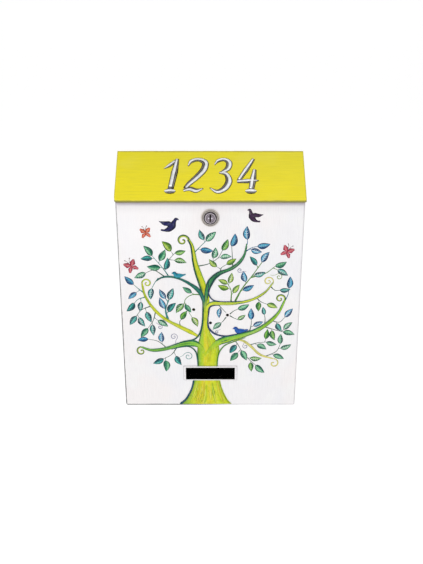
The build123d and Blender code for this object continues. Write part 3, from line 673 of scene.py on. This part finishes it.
# the trunk below and above the name plate, where it runs on into a stem: rows of height, left and right edge
FOOT = (
    (door_edge, -46.5, 32.5), (-178, -38, 26.0), (-165, -31, 20.0), (-154, -27.4, 16.4),
    (plate_bottom, -25.6, 14.4),
)
STEM = (
    (plate_top, -18.8, 10.6), (-108, -19.0, 11.2), (-96, -19.6, 13.4), (-84, -18.6, 12.4), (-73, -16.4, 6.4),
    (-62, -13.8, -0.4), (-48, -11.8, -2.6), (-30, -11.0, -2.8), (-14, -10.8, -1.2), (2, -12.8, -2.6),
    (16, -16.8, -7.0), (32, -21.6, -13.0), (48, -24.8, -18.4), (62, -26.0, -21.2), (74, -27.8, -24.0),
    (82, -31.6, -28.4),
)
BARK = [rgb(24, 96, 70), rgb(120, 178, 52), rgb(166, 200, 40), LIME, OCHRE, OCHRE, LIME_LIGHT, OCHRE,
        LIME_LIGHT, LIME_LIGHT, LIME, LIME, rgb(166, 194, 30)]
FOOT_MOTTLE, STEM_MOTTLE = (LIME_LIGHT, OCHRE, LIME_LIGHT, OCHRE), (LIME, LIME_LIGHT, GRASS, OCHRE)
GRAIN = (LIME_LIGHT, rgb(228, 226, 84), rgb(178, 204, 44), rgb(206, 190, 48), OCHRE, LIME)
# outlines of both parts: side, first point of it, widths and colours
FOOT_LINES = ((1, 0, [3.4, 2.6, 2.4], [rgb(10, 52, 84), rgb(12, 80, 100), DARK_TEAL]),
              (2, 0, [0.8, 1.0, 1.2], [LIME, LIME, rgb(160, 190, 34)]))
STEM_LINES = ((1, 26, [0.8, 2.2, 2.4, 2.1, 2.0, 2.3, 2.2], [rgb(10, 64, 66), rgb(14, 84, 62), DARK_GREEN]),
              (2, 58, [0.6, 1.5, 1.4, 1.0], [LIME, MOSS, GREEN_EDGE]))
for rows, mottle, outlines in ((FOOT, FOOT_MOTTLE, FOOT_LINES), (STEM, STEM_MOTTLE, STEM_LINES)):
    edge = curve(rows, 6)
    mottled = []
    for tone in BARK:
        drift = curve([[rng.random()] for _ in range(len(rows))], 6)[:, 0]
        other = rng.choice(mottle)
        shadow = max(0.0, 0.9 - 0.16 * len(mottled)) if rows is STEM else 0.0  # on the stem's left side
        reach = shadow * np.clip((edge[:, 0] + 60) / 50, 0, 1)
        mottled.append(np.array([blend(blend(tone, other, np.clip(0.6 * k, 0, 1)), STEM_SHADE, deep)
                                 for k, deep in zip(drift, reach)]))
    trunk.strip(edge[:, [1, 0]], edge[:, [2, 0]], mottled, 0.05, 0.35)
    for _ in range(26):  # long brush marks that follow the grain
        u, low = rng.uniform(0.14, 0.9), rng.randrange(0, max(1, len(edge) - 16))
        high = min(len(edge), low + rng.randrange(9, 24))
        path = [(r[1] * (1 - u) + r[2] * u, r[0]) for r in edge[low:high]]
        wide = rng.uniform(0.03, 0.065) * (edge[low][2] - edge[low][1])
        trunk.stroke(path, [0.2, wide, 0.2], [rng.choice(GRAIN)] * 3, 0.4, 0.06, per=2)
    for side, first, widths, tones in outlines:
        inset = 0.25 if side == 1 else -0.25
        trunk.stroke([(r[side] + inset, r[0]) for r in edge][first:], widths, tones, 0.42, 0.1, per=2)
    occupied.extend(((r[1] + r[2]) / 2, r[0], (r[2] - r[1]) / 2) for r in edge[::2])

# limbs; each starts inside the trunk, turns out of it, and ends in a curl or in sprays of leaves
limb([(-7, -30), (-6.4, -12), (-4.6, 5), (1, 20), (12, 31), (28, 38), (40, 47), (48, 60), (51, 76)],
     [0.8, 4.0, 7.2, 7.2, 5.8, 4.8, 4.0, 2.8, 1.6], rgb(12, 80, 66), rgb(58, 142, 74), rgb(16, 84, 80),
     dark=rgb(12, 60, 72), dark_side=-1, layer=0.36, merge=0.2)
limb([(-8, -30), (-9.6, -12), (-16, 3), (-28, 14), (-42, 22), (-56, 26), (-69, 25), (-78, 19)],
     [0.8, 4.8, 5.6, 3.8, 3.0, 2.7, 2.1, 1.0], rgb(10, 84, 82), rgb(30, 124, 98), rgb(14, 92, 90),
     dark_side=-1, layer=0.3, merge=0.15)
limb([(-7, -40), (-4, -21), (5, -15.5), (20, -15.8), (40, -15), (61, -9.5), (79, 2), (90, 17)],
     [0.8, 5.4, 6.4, 5.0, 4.2, 3.4, 2.6, 1.4], rgb(150, 190, 60), LIME_LIGHT, rgb(206, 214, 80),
     dark=rgb(44, 100, 92), layer=0.32, merge=0.2)
limb([(-10, -104), (0, -90), (12, -79.5), (27, -73.5), (46, -68), (66, -60.5), (84, -48), (99, -31),
      (108, -10)],
     [0.8, 7.0, 11.4, 10.2, 7.8, 6.4, 5.4, 4.2, 2.6], rgb(70, 150, 60), rgb(130, 192, 54), LIME,
     dark=rgb(14, 84, 88), layer=0.3, merge=0.32)
limb([(-17, -70), (-28, -63), (-46, -53), (-66, -41), (-82, -25), (-94, -4), (-98, 16)],
     [3.4, 6.2, 5.4, 4.6, 4.0, 3.2, 2.0], LIME, rgb(214, 214, 40), rgb(200, 204, 56),
     dark=rgb(140, 168, 52), dark_side=-1, layer=0.1, merge=0.1)
limb([(-6, -104), (-12, -90), (-22, -82), (-36, -81), (-52, -85.5), (-70, -91), (-88, -92.5), (-103, -87)],
     [0.8, 6.0, 9.8, 8.0, 6.2, 5.0, 4.0, 2.6], rgb(60, 148, 60), rgb(132, 196, 56), rgb(120, 180, 60),
     dark=rgb(16, 92, 84), dark_side=-1, layer=0.3, merge=0.3)
limb([(28, -77), (46, -76), (60, -86), (74, -100), (94, -107)], [1.2, 2.8, 3.4, 3.0, 1.6],
     YELLOW_PALE, rgb(232, 226, 120), rgb(215, 205, 120), dark=rgb(190, 180, 100))

# outlines that run from the trunk round into the limbs: points, widths, colours, height and crown
OUTLINE, OVER_LIMBS = 0.56, 0.66
GREEN_DARK = rgb(22, 100, 84)
for points, widths, tones, layer, dome in (
    ([(-3.0, -32), (-3.5, -41), (-3.7, -48), (-2.0, -56), (4.5, -63.5), (14, -67.8), (27, -68.4), (42, -64.5),
      (58, -59)],
     [0.9, 1.9, 2.5, 2.9, 2.7, 2.0, 1.5, 0.6], [NAVY, rgb(20, 46, 108), DARK_TEAL], OUTLINE, 0.12),
    ([(-11.6, -40), (-12.6, -52), (-15.6, -64), (-22, -73), (-33, -77), (-47, -80.5), (-62, -86)],
     [1.2, 1.9, 2.2, 2.3, 1.9, 1.5, 0.6], [GREEN_DARK, DARK_TEAL, DARK_GREEN], OUTLINE, 0.12),
    ([(10.4, plate_top), (11.0, -106), (14.2, -94), (22, -84), (36, -77.6), (52, -71.4)],
     [1.3, 1.7, 1.9, 1.8, 1.4, 0.6], [MOSS, GREEN_EDGE, DARK_GREEN], OUTLINE, 0.1),
    ([(-18.6, plate_top), (-19.4, -106), (-22.4, -94), (-31, -86.6), (-44, -87.2), (-58, -91)],
     [1.6, 2.2, 2.2, 1.7, 1.4, 0.6], [DARK_TEAL, GREEN_DARK, DARK_GREEN], OUTLINE, 0.1),
    ([(-2.4, 20), (-3.0, 8), (-2.0, -2), (3.4, -9.8), (12, -12.6), (26, -13.0), (44, -12.0)],
     [0.8, 1.6, 2.0, 2.0, 1.6, 1.2, 0.5], [NAVY, rgb(20, 60, 90), DARK_TEAL], OVER_LIMBS, 0.12),
    ([(14, -18.8), (5, -19.0), (-0.8, -22), (-2.4, -30), (-2.8, -38)],
     [0.5, 1.3, 2.2, 2.0, 0.8], [NAVY, rgb(24, 34, 96), NAVY], OVER_LIMBS, 0.12),
):
    trunk.stroke(points, widths, tones, layer, dome)

CURL_GREEN = [rgb(18, 62, 34), rgb(34, 84, 38), rgb(60, 108, 44), rgb(150, 172, 60), LIME_LIGHT,
              rgb(110, 150, 60)]
CURL_LIME = [rgb(88, 112, 36), rgb(120, 146, 44), LIME, LIME_LIGHT, LIME, MOSS]
CURL_PALE = [rgb(176, 166, 80), rgb(206, 198, 104), rgb(236, 228, 130), YELLOW_PALE]
curl((-38.4, 80.6), 4, 8.6, 1.2, 1, [3.6, 3.4, 2.6, 2.2, 2.8], CURL_GREEN)
curl((83.2, 19.0), -16, 7.2, 1.3, 1, [1.6, 2.0, 1.5, 1.6], CURL_PALE)
curl((101.0, -8.4), -12, 7.2, 1.15, 1, [2.8, 2.7, 2.0, 2.0], CURL_GREEN)
curl((-91.0, 16.0), 178, 7.0, 1.2, -1, [2.1, 2.3, 1.8, 1.8], CURL_LIME)
curl((-102.8, -94.2), 92, 7.2, 1.1, 1, [2.6, 2.6, 2.0, 2.0], CURL_GREEN)
curl((95, -114.8), 92, 7.8, 1.05, -1, [1.6, 2.1, 1.9, 1.6], CURL_PALE)

# birds and butterflies keep their places free of leaves
occupied.extend([(-56, 104, 15), (60, 117, 13), (-46, 33, 8), (43, -54, 9), (-90, 94, 10), (-112, 44, 12),
                 (108, 66, 11)])

# sprays of leaves, region by region
spray([(-60, 28), (-68, 40), (-82, 58)], TEAL, 4, 17.5, tone=LEAF_TEAL)
spray([(-66, 38), (-60, 50), (-50, 62)], GREEN, 3, 17.5)
spray([(-66, 27), (-80, 36), (-92, 32)], SEA, 1, 17)
spray([(-74, 24), (-80, 16), (-84, 8)], TEAL, 0, 17.5, tone=LEAF_TEAL)
spray([(-23, 62), (-14, 72), (-6, 80)], TEAL, 2, 18, tone=LEAF_TEAL)
spray([(-19, 42), (-2, 46), (11, 55), (17, 66)], GREEN, 4, 17)
spray([(14, 34), (16, 40), (23, 45)], OLIVE, 1, 15)
spray([(51, 74), (52, 78), (52, 82)], BLUE, 0, 18.5, tone=LEAF_BLUE)
spray([(32, 40), (31, 58), (30, 72)], BLUE, 1, 19.5)
spray([(49, 64), (58, 70), (66, 72)], BLUE, 1, 17, tone=LEAF_BLUE)
spray([(36, -12), (46, 8), (60, 28), (73, 48)], BLUE, 4, 17.5, 1.9, MOSS)
spray([(58, 25), (78, 31), (92, 42)], TEAL, 3, 17.5, 1.5, MOSS)
spray([(30, -13), (30, 4), (25, 15)], OLIVE, 3, 17, 1.4, MOSS)
spray([(66, -6), (73, -13), (82, -17)], OLIVE, 1, 15.5)
spray([(86.5, 11), (93, 5), (100, 5)], BLUE, 0, 14)
spray([(107, -14), (112, -2), (113, 8)], BLUE, 1, 17, tone=LEAF_BLUE)
spray([(88, -43), (101, -46), (109, -38)], TEAL, 2, 16.5)
spray([(78, -53), (96, -59), (107, -62)], SEA, 2, 16.5)
spray([(58, -60), (60, -50), (60, -42)], BLUE, 1, 17)
spray([(80, -50), (80, -40), (79, -34)], TEAL, 1, 17)
spray([(10, -16), (17, -24), (23, -31)], BLUE, 1, 15, tip=False)
spray([(28.4, -35.6), (34, -39), (40, -42)], SEA, 0, 17)
spray([(28.4, -33), (34, -28), (40, -25)], SEA, 1, 16.5)
spray([(23, -38), (19, -44), (16, -47)], TEAL, 0, 15.5)
spray([(36, -75), (42, -85), (46, -93)], SEA, 2, 17.5)
spray([(46, -93), (56, -106), (68, -118)], SEA, 4, 17.5)
spray([(58, -84), (71, -80), (83, -79)], SEA, 2, 16)
spray([(80, -104), (98, -95), (104, -82)], SEA, 4, 16.5)
spray([(-62, -42), (-65, -26), (-60, -10)], TEAL, 4, 18, 2.4, LEAF_TEAL)
spray([(-44, -53), (-45, -46), (-43, -42)], OLIVE, 0, 16)
spray([(-97, 2), (-104, 8), (-110, 14)], BLUE, 1, 16.5, tone=LEAF_TEAL)
spray([(-95, -6), (-104, -9), (-110, -15)], TEAL, 2, 16.5, tone=LEAF_TEAL)
spray([(-86, -20), (-100, -26), (-108, -36)], TEAL, 2, 16.5)
spray([(-80, -30), (-84, -44), (-92, -56)], SEA, 3, 17)
spray([(-64, -90), (-77, -78), (-92, -74)], BLUE, 2, 16.5)
spray([(-50, -88), (-58, -100), (-70, -107)], TEAL, 2, 17)
spray([(-12, -2), (-26, -2), (-36, -9), (-37, -18)], GREEN, 3, 17, 1.4, MOSS)
spray([(-36, -16), (-31, -30), (-27, -38)], OLIVE, 1, 16.5, 1.1, MOSS)

# loose tendrils, each winding into a curl, where there is room: centre, angle, radius, turns, side and colour
for x, z, angle, radius, turns, side, tone in (
    (-33, 33, 20, 6.4, 1.2, -1, LEAF_TEAL), (-63, 8, 60, 5.5, 1.1, 1, LILAC),
    (-26, -54, -60, 5.5, 1.3, -1, LILAC), (-54, -70, -30, 5.5, 1.4, 1, LILAC),
    (-33, -103, 140, 7.0, 1.4, -1, LEAF_TEAL), (-106, 30, 200, 4.5, 1.3, 1, TWIG),
    (56, -16, 200, 4.5, 1.2, 1, LILAC), (60, 58, 250, 4.0, 1.2, 1, LILAC),
    (112, 30, 200, 5.5, 1.5, -1, LILAC), (98, 26, 120, 5.0, 1.3, -1, LEAF_OLIVE),
    (52, -86, 150, 4.0, 1.1, 1, LILAC), (-74, -54, 80, 3.6, 1.3, -1, LILAC),
    (-80, -8, 200, 4.0, 1.1, 1, LILAC), (42, 36, 300, 3.6, 1.2, -1, LILAC),
    (94, -26, 330, 4.0, 1.2, -1, LILAC), (-46, -32, 90, 3.4, 1.2, 1, TWIG),
    (10, -62, 90, 2.6, 1.1, 1, LILAC), (-98, -72, 30, 3.6, 1.2, 1, LILAC),
):
    lead = stalk_of((x, z), angle, radius, side)
    if is_clear([(x, z), (x + radius, z), (x - radius, z), *lead]) and room_for([(x, z)], radius * 0.85):
        tones = [blend(tone, NAVY, 0.3), tone, tone]
        curl((x, z), angle, radius, turns, side, [0.5, 0.9, 1.1, 1.0, 0.7], tones, tendrils, TWIG_LAYER, lead)


# ---- birds and butterflies, of plain shapes
# rows of points and widths, as shares of the animal's size, then height above the door and crown
FLYING_BIRD = (
    # fanned tail and plump body, head with its beak, and two wings held back
    ([(-0.5, -0.3), (-0.3, -0.33), (-0.06, -0.26), (0.14, -0.08), (0.22, 0.12), (0.3, 0.28)],
     [0.1, 0.13, 0.32, 0.38, 0.26, 0.16], 0.05, 0.35),
    ([(0.26, 0.22), (0.34, 0.31), (0.42, 0.32), (0.5, 0.27)], [0.16, 0.2, 0.13, 0.02], 0.06, 0.3),
    ([(0.18, 0.02), (-0.06, 0.06), (-0.34, 0.1), (-0.6, 0.2)], [0.14, 0.3, 0.2, 0.02], 0.08, 0.35),
    ([(0.14, -0.06), (-0.08, 0.0), (-0.3, 0.02), (-0.46, 0.06)], [0.1, 0.2, 0.14, 0.02], 0.12, 0.3),
)
SITTING_BIRD = (
    # tail and body, head with its beak, and a folded wing
    ([(-0.64, 0.14), (-0.4, 0.06), (-0.12, 0.0), (0.12, 0.02), (0.3, 0.14)],
     [0.1, 0.16, 0.38, 0.44, 0.28], 0.4, 0.3),
    ([(0.2, 0.12), (0.31, 0.23), (0.4, 0.24), (0.54, 0.19)], [0.3, 0.32, 0.2, 0.01], 0.41, 0.3),
    ([(0.14, 0.08), (-0.1, 0.1), (-0.38, 0.14)], [0.1, 0.22, 0.03], 0.45, 0.25),
)
WINGS = (
    ([(0.03, 0.02), (0.22, 0.2), (0.46, 0.44)], [0.08, 0.48, 0.14], 0.05, 0.2),
    ([(0.03, -0.04), (0.2, -0.2), (0.38, -0.44)], [0.08, 0.36, 0.14], 0.05, 0.2),
)
FEELERS = (  # with widths in millimetres
    ([(0.02, 0.2), (0.1, 0.5), (0.2, 0.62)], [0.5, 0.5, 0.4], 0.05, 0.08),
    ([(0.17, 0.6), (0.22, 0.66), (0.26, 0.66)], [0.9, 1.2, 0.9], 0.06, 0.1),
)


def placed(shape, at, size, angle, flip=1):
    """Points of a unit shape, scaled, mirrored and turned."""
    a = math.radians(angle)
    return [(at[0] + size * (flip * x * math.cos(a) - y * math.sin(a)),
             at[1] + size * (flip * x * math.sin(a) + y * math.cos(a))) for x, y in shape]


def paint_shape(film, rows, at, size, angle, flip, tones):
    for points, widths, layer, dome in rows:
        film.stroke(placed(points, at, size, angle, flip), [w * size for w in widths], tones, layer, dome)


def flying_bird(at, size, angle, flip, dark, light):
    tones = [dark, blend(dark, light, 0.4), light, blend(dark, light, 0.3), dark]
    paint_shape(birds, FLYING_BIRD, at, size, angle, flip, tones)


def sitting_bird(at, size, flip, dark, light):
    paint_shape(birds, SITTING_BIRD, at, size, 0, flip, [light, light, blend(dark, light, 0.5), dark, dark])


def butterfly(at, size, angle, tone, dark):
    pale = blend(tone, (1, 0.85, 0.7), 0.25)
    feeler = [blend(dark, TWIG, 0.5)] * 3
    for side in (-1, 1):
        paint_shape(butterflies, WINGS, at, size, angle, side, [dark, tone, pale, tone, dark])
        for points, widths, layer, dome in FEELERS:
            butterflies.stroke(placed(points, at, size, angle, side), widths, feeler, layer, dome)
    body = placed([(0, -0.34), (0, -0.05), (0, 0.22)], at, size, angle)
    butterflies.stroke(body, [0.3, 1.5, 0.8], [dark, tone, dark], 0.2, 0.15)


flying_bird((-56, 104), 25, 0, 1, rgb(12, 10, 44), rgb(28, 28, 92))
flying_bird((60, 117), 21, -12, -1, rgb(30, 10, 36), rgb(62, 30, 70))
sitting_bird((-46, 27.6), 17, -1, rgb(14, 100, 126), rgb(40, 156, 176))
sitting_bird((43, -60.6), 19, -1, rgb(10, 66, 150), rgb(26, 98, 184))
butterfly((-90, 92), 15, 8, rgb(214, 84, 50), rgb(150, 50, 40))
butterfly((-112, 42), 18, 28, rgb(184, 36, 72), rgb(120, 16, 50))
butterfly((108, 64), 17, -24, rgb(186, 38, 76), rgb(120, 18, 54))

for film in door_films:
    film.build()

# ---- house digits on the lid
silver_paint = paint_film("silver_digits", gloss=0.34, metallic=0.35, wash=0.12, grain=(900, 500, 500))
digits = Film("painted_digits", on_lid, "lid", "lid_paint", silver_paint)
INK = rgb(54, 47, 36)
SHADE = rgb(100, 94, 88)
STEEL = rgb(158, 156, 156)
SILVER = rgb(206, 206, 210)
PEARL = rgb(244, 244, 246)
DIGIT_TOP, DIGIT_H, SLANT = 14.0, 57.0, 0.13  # down from the lid's rear edge, height, lean to the right


def digit_ribbons(line, w, lit):
    """Silver paint on a dark ground: bright on one side of the line, shaded on the other. lit is 1 or -1."""
    side = half_across(line, w) * lit
    n = len(line)

    def ribbon(a, b, across, layer, dome, start=0.0, end=1.0):
        low, high = int(start * (n - 1)), int(end * (n - 1)) + 1
        edges = [line + side * a, line + side * b][:: lit]
        digits.strip(edges[0][low:high], edges[1][low:high], across[::lit], layer, dome)

    ribbon(1.0, -1.0, [INK, SHADE, SHADE, SHADE, INK, INK, INK], 0.05, 0.5)
    ribbon(0.84, -0.36, [STEEL, SILVER, PEARL, PEARL, PEARL, SILVER, STEEL], 0.42, 0.35, 0.02, 0.98)
    ribbon(-0.34, -0.8, [STEEL, SHADE, STEEL, SHADE], 0.38, 0.3, 0.04, 0.96)
    for _ in range(4):  # dark brush marks on the shaded side
        u, at = rng.uniform(-0.75, -0.1), rng.uniform(0.05, 0.6)
        ribbon(u + 0.07, u - 0.07, [INK, SHADE, INK], 0.62, 0.08, at, min(0.98, at + rng.uniform(0.15, 0.4)))


# each digit's left edge, its strokes, and the place of the foot under its stem, if it has one. A stroke has
# points, as shares of the digit's height across and down, widths in millimetres, and a lit side.
DIGITS = (
    (-70, (([(0.0, 0.3), (0.12, 0.2), (0.26, 0.05)], [0.8, 6.0, 5.0], -1),
           ([(0.29, 0.0), (0.28, 0.4), (0.26, 0.9)], [5.0, 9.6, 8.4], 1)), 0.26),
    (-39, (([(0.04, 0.22), (0.1, 0.07), (0.27, 0.02), (0.44, 0.11), (0.44, 0.31), (0.31, 0.53), (0.14, 0.74),
             (0.05, 0.88)], [1.6, 6.4, 6.6, 9.4, 10.0, 9.0, 7.4, 4.6], -1),
           ([(0.03, 0.94), (0.18, 0.89), (0.34, 0.94), (0.5, 0.88)], [4.0, 7.6, 7.8, 1.6], 1)), None),
    (-3, (([(0.05, 0.18), (0.13, 0.05), (0.28, 0.02), (0.4, 0.12), (0.38, 0.3), (0.2, 0.43)],
           [1.6, 6.0, 6.4, 9.2, 8.6, 2.4], -1),
          ([(0.2, 0.42), (0.37, 0.46), (0.46, 0.66), (0.39, 0.87), (0.22, 0.97), (0.02, 0.86)],
           [2.4, 7.0, 10.0, 9.6, 7.0, 1.6], -1)), None),
    (34, (([(0.34, 0.0), (0.19, 0.33), (0.04, 0.66)], [4.6, 7.6, 5.6], 1),
          ([(0.01, 0.68), (0.26, 0.66), (0.53, 0.65)], [5.0, 7.8, 2.0], -1),
          ([(0.4, 0.32), (0.39, 0.62), (0.38, 0.92)], [5.2, 9.4, 7.6], 1)), 0.38),
)
for x, strokes, foot in DIGITS:
    for points, widths, lit in strokes:
        line = curve([(x + DIGIT_H * (px + SLANT * (1 - py)), DIGIT_TOP + DIGIT_H * py)
                      for px, py in points], 8)
        digit_ribbons(line, spread(widths, len(line)), lit)
    if foot is not None:  # flat and round, white above and dark below
        foot_down = DIGIT_TOP + DIGIT_H * 0.955
        line = curve([(x + DIGIT_H * foot + k, foot_down + 0.3 * abs(k) / 8) for k in (-8, -4, 0, 4, 8)], 8)
        along = np.linspace(0, 1, len(line))
        digit_ribbons(line, np.interp(along, [0, 0.18, 0.5, 0.82, 1], [0.6, 7.4, 9.6, 7.4, 0.6]), -1)
digits.build()

# ---- finishes of the CAD pieces
NICKEL = rgb(158, 148, 158)
NICKEL_DARK = rgb(60, 50, 58)
RING_BLACK = rgb(22, 16, 20)
RING_HIGHLIGHT = rgb(214, 204, 212)
BEIGE = rgb(226, 219, 212)
RING_GREY, RING_SHADE = rgb(176, 168, 162), rgb(96, 88, 84)
# dark rings: painted shade, with dirt, in the gaps and grooves of the lock's parts; light rings: painted
# highlights
RING_RINGS = ((10.9, 0.45, 0.7, rgb(84, 76, 74)), (9.6, 0.5, 0.35, rgb(222, 216, 210)),
              (8.7, 0.7, 0.95, RING_BLACK))
LOCK_RINGS = ((8.2, 1.15, 1.0, RING_BLACK), (6.9, 0.6, 0.75, RING_HIGHLIGHT), (5.8, 0.6, 0.8, NICKEL_DARK),
              (3.6, 0.6, 0.3, NICKEL_DARK))
finishes = {
    "body_paint": enamel_white("enamel_body", (60, 60, 700), (BODY_WHITE, BODY_PINK, BODY_LILAC), body_marks),
    "door_paint": enamel_white("enamel_door", (800, 800, 50), (WHITE, WHITE_PINK, WHITE_LILAC), door_marks),
    "lid_paint": enamel_yellow("enamel_lid"),
    "trim_ring": ringed_metal("lacquer_trim_ring", RING_GREY, RING_SHADE, RING_RINGS, 0.1, 0.45, fade=BEIGE),
    "lock_nickel": ringed_metal("nickel_lock", NICKEL, NICKEL_DARK, LOCK_RINGS, 0.3, 0.36, keyway=True),
    "zinc_plate": plated("zinc_plate", rgb(198, 200, 204), rgb(150, 154, 162)),
    "wafer_brass": plated("wafer_brass", rgb(92, 76, 48), rgb(48, 38, 26), roughness=0.5, scale=700.0),
    "rivet_aluminium": plated("rivet_aluminium", rgb(214, 214, 216), rgb(164, 164, 168), roughness=0.38,
                              scale=900.0),
    "plate_frame": plated("plate_frame_anodised", rgb(244, 242, 243), rgb(222, 219, 222), metallic=0.15,
                          roughness=0.42, scale=500.0),
    "plate_window": window_clear("plate_window_clear"),
    "plate_card": card_black("plate_card_black"),
}
for part in frame["record"]["subparts"]:
    for mesh_slot in nodes[part["node"]].material_slots:
        mesh_slot.link = "OBJECT"
        mesh_slot.material = finishes[part["material_slot"]]

# ---- studio
REACH, FLOOR_Z = 300.0, -0.75
floor_mesh = bpy.data.meshes.new("studio_floor")
corners = ((-1, -1), (1, -1), (1, 1), (-1, 1))
floor_mesh.from_pydata([(x * REACH, y * REACH, FLOOR_Z) for x, y in corners], [], [(0, 1, 2, 3)])
floor = added("studio_floor", floor_mesh)
pale = bpy.data.materials.new("studio_white")
pale.use_nodes = True
for socket, value in {"Base Color": (0.72, 0.72, 0.72, 1), "Roughness": 0.9, "Emission Color": (1, 1, 1, 1),
                      "Emission Strength": 0.6}.items():
    pale.node_tree.nodes["Principled BSDF"].inputs[socket].default_value = value
floor_mesh.materials.append(pale)

SKY = 0.46  # the sky's strength overhead, against 1 at the horizon
world = bpy.data.worlds.new("studio")
bpy.context.scene.world = world
world.use_nodes = True
sky = world.node_tree.nodes
sky["Background"].inputs["Color"].default_value = (1, 1, 1, 1)
direction = sky.new("ShaderNodeTexCoord")
height = sky.new("ShaderNodeSeparateXYZ")
fade = sky.new("ShaderNodeMapRange")
for socket, value in zip(fade.inputs[1:5], (0.2, 0.5, 1.0, SKY)):
    socket.default_value = value
world.node_tree.links.new(direction.outputs["Generated"], height.inputs[0])
world.node_tree.links.new(height.outputs["Z"], fade.inputs[0])
world.node_tree.links.new(fade.outputs[0], sky["Background"].inputs["Strength"])


def area_light(name, at, target, size, power):
    light = bpy.data.lights.new(name, "AREA")
    light.shape, light.size, light.energy = "DISK", size, power
    lamp = added(name, light)
    lamp.location = at
    lamp.rotation_mode = "QUATERNION"
    lamp.rotation_quaternion = (Vector(target) - Vector(at)).to_track_quat("-Z", "Y")


area_light("key", (-0.8, -1.7, 2.0), (0, -0.05, 0), 1.1, 18.0)
area_light("top", (0.5, -0.3, 2.2), (0, -0.05, 0.1), 1.0, 4.0)

CAMERA_AT, LOOK_DOWN = (0.0017, -0.991, 0.411), 23  # metres, and degrees below level
camera_data = bpy.data.cameras.new("camera")
camera_data.sensor_fit = "AUTO"
camera_data.sensor_width, camera_data.lens = 36.0, 44.87234
camera_data.clip_start, camera_data.clip_end = 0.05, 1000.0
camera = added("camera", camera_data)
camera.location = CAMERA_AT
camera.rotation_euler = (math.radians(90 - LOOK_DOWN), 0, 0)
bpy.context.scene.camera = camera
bpy.context.scene.view_settings.view_transform = "Standard"
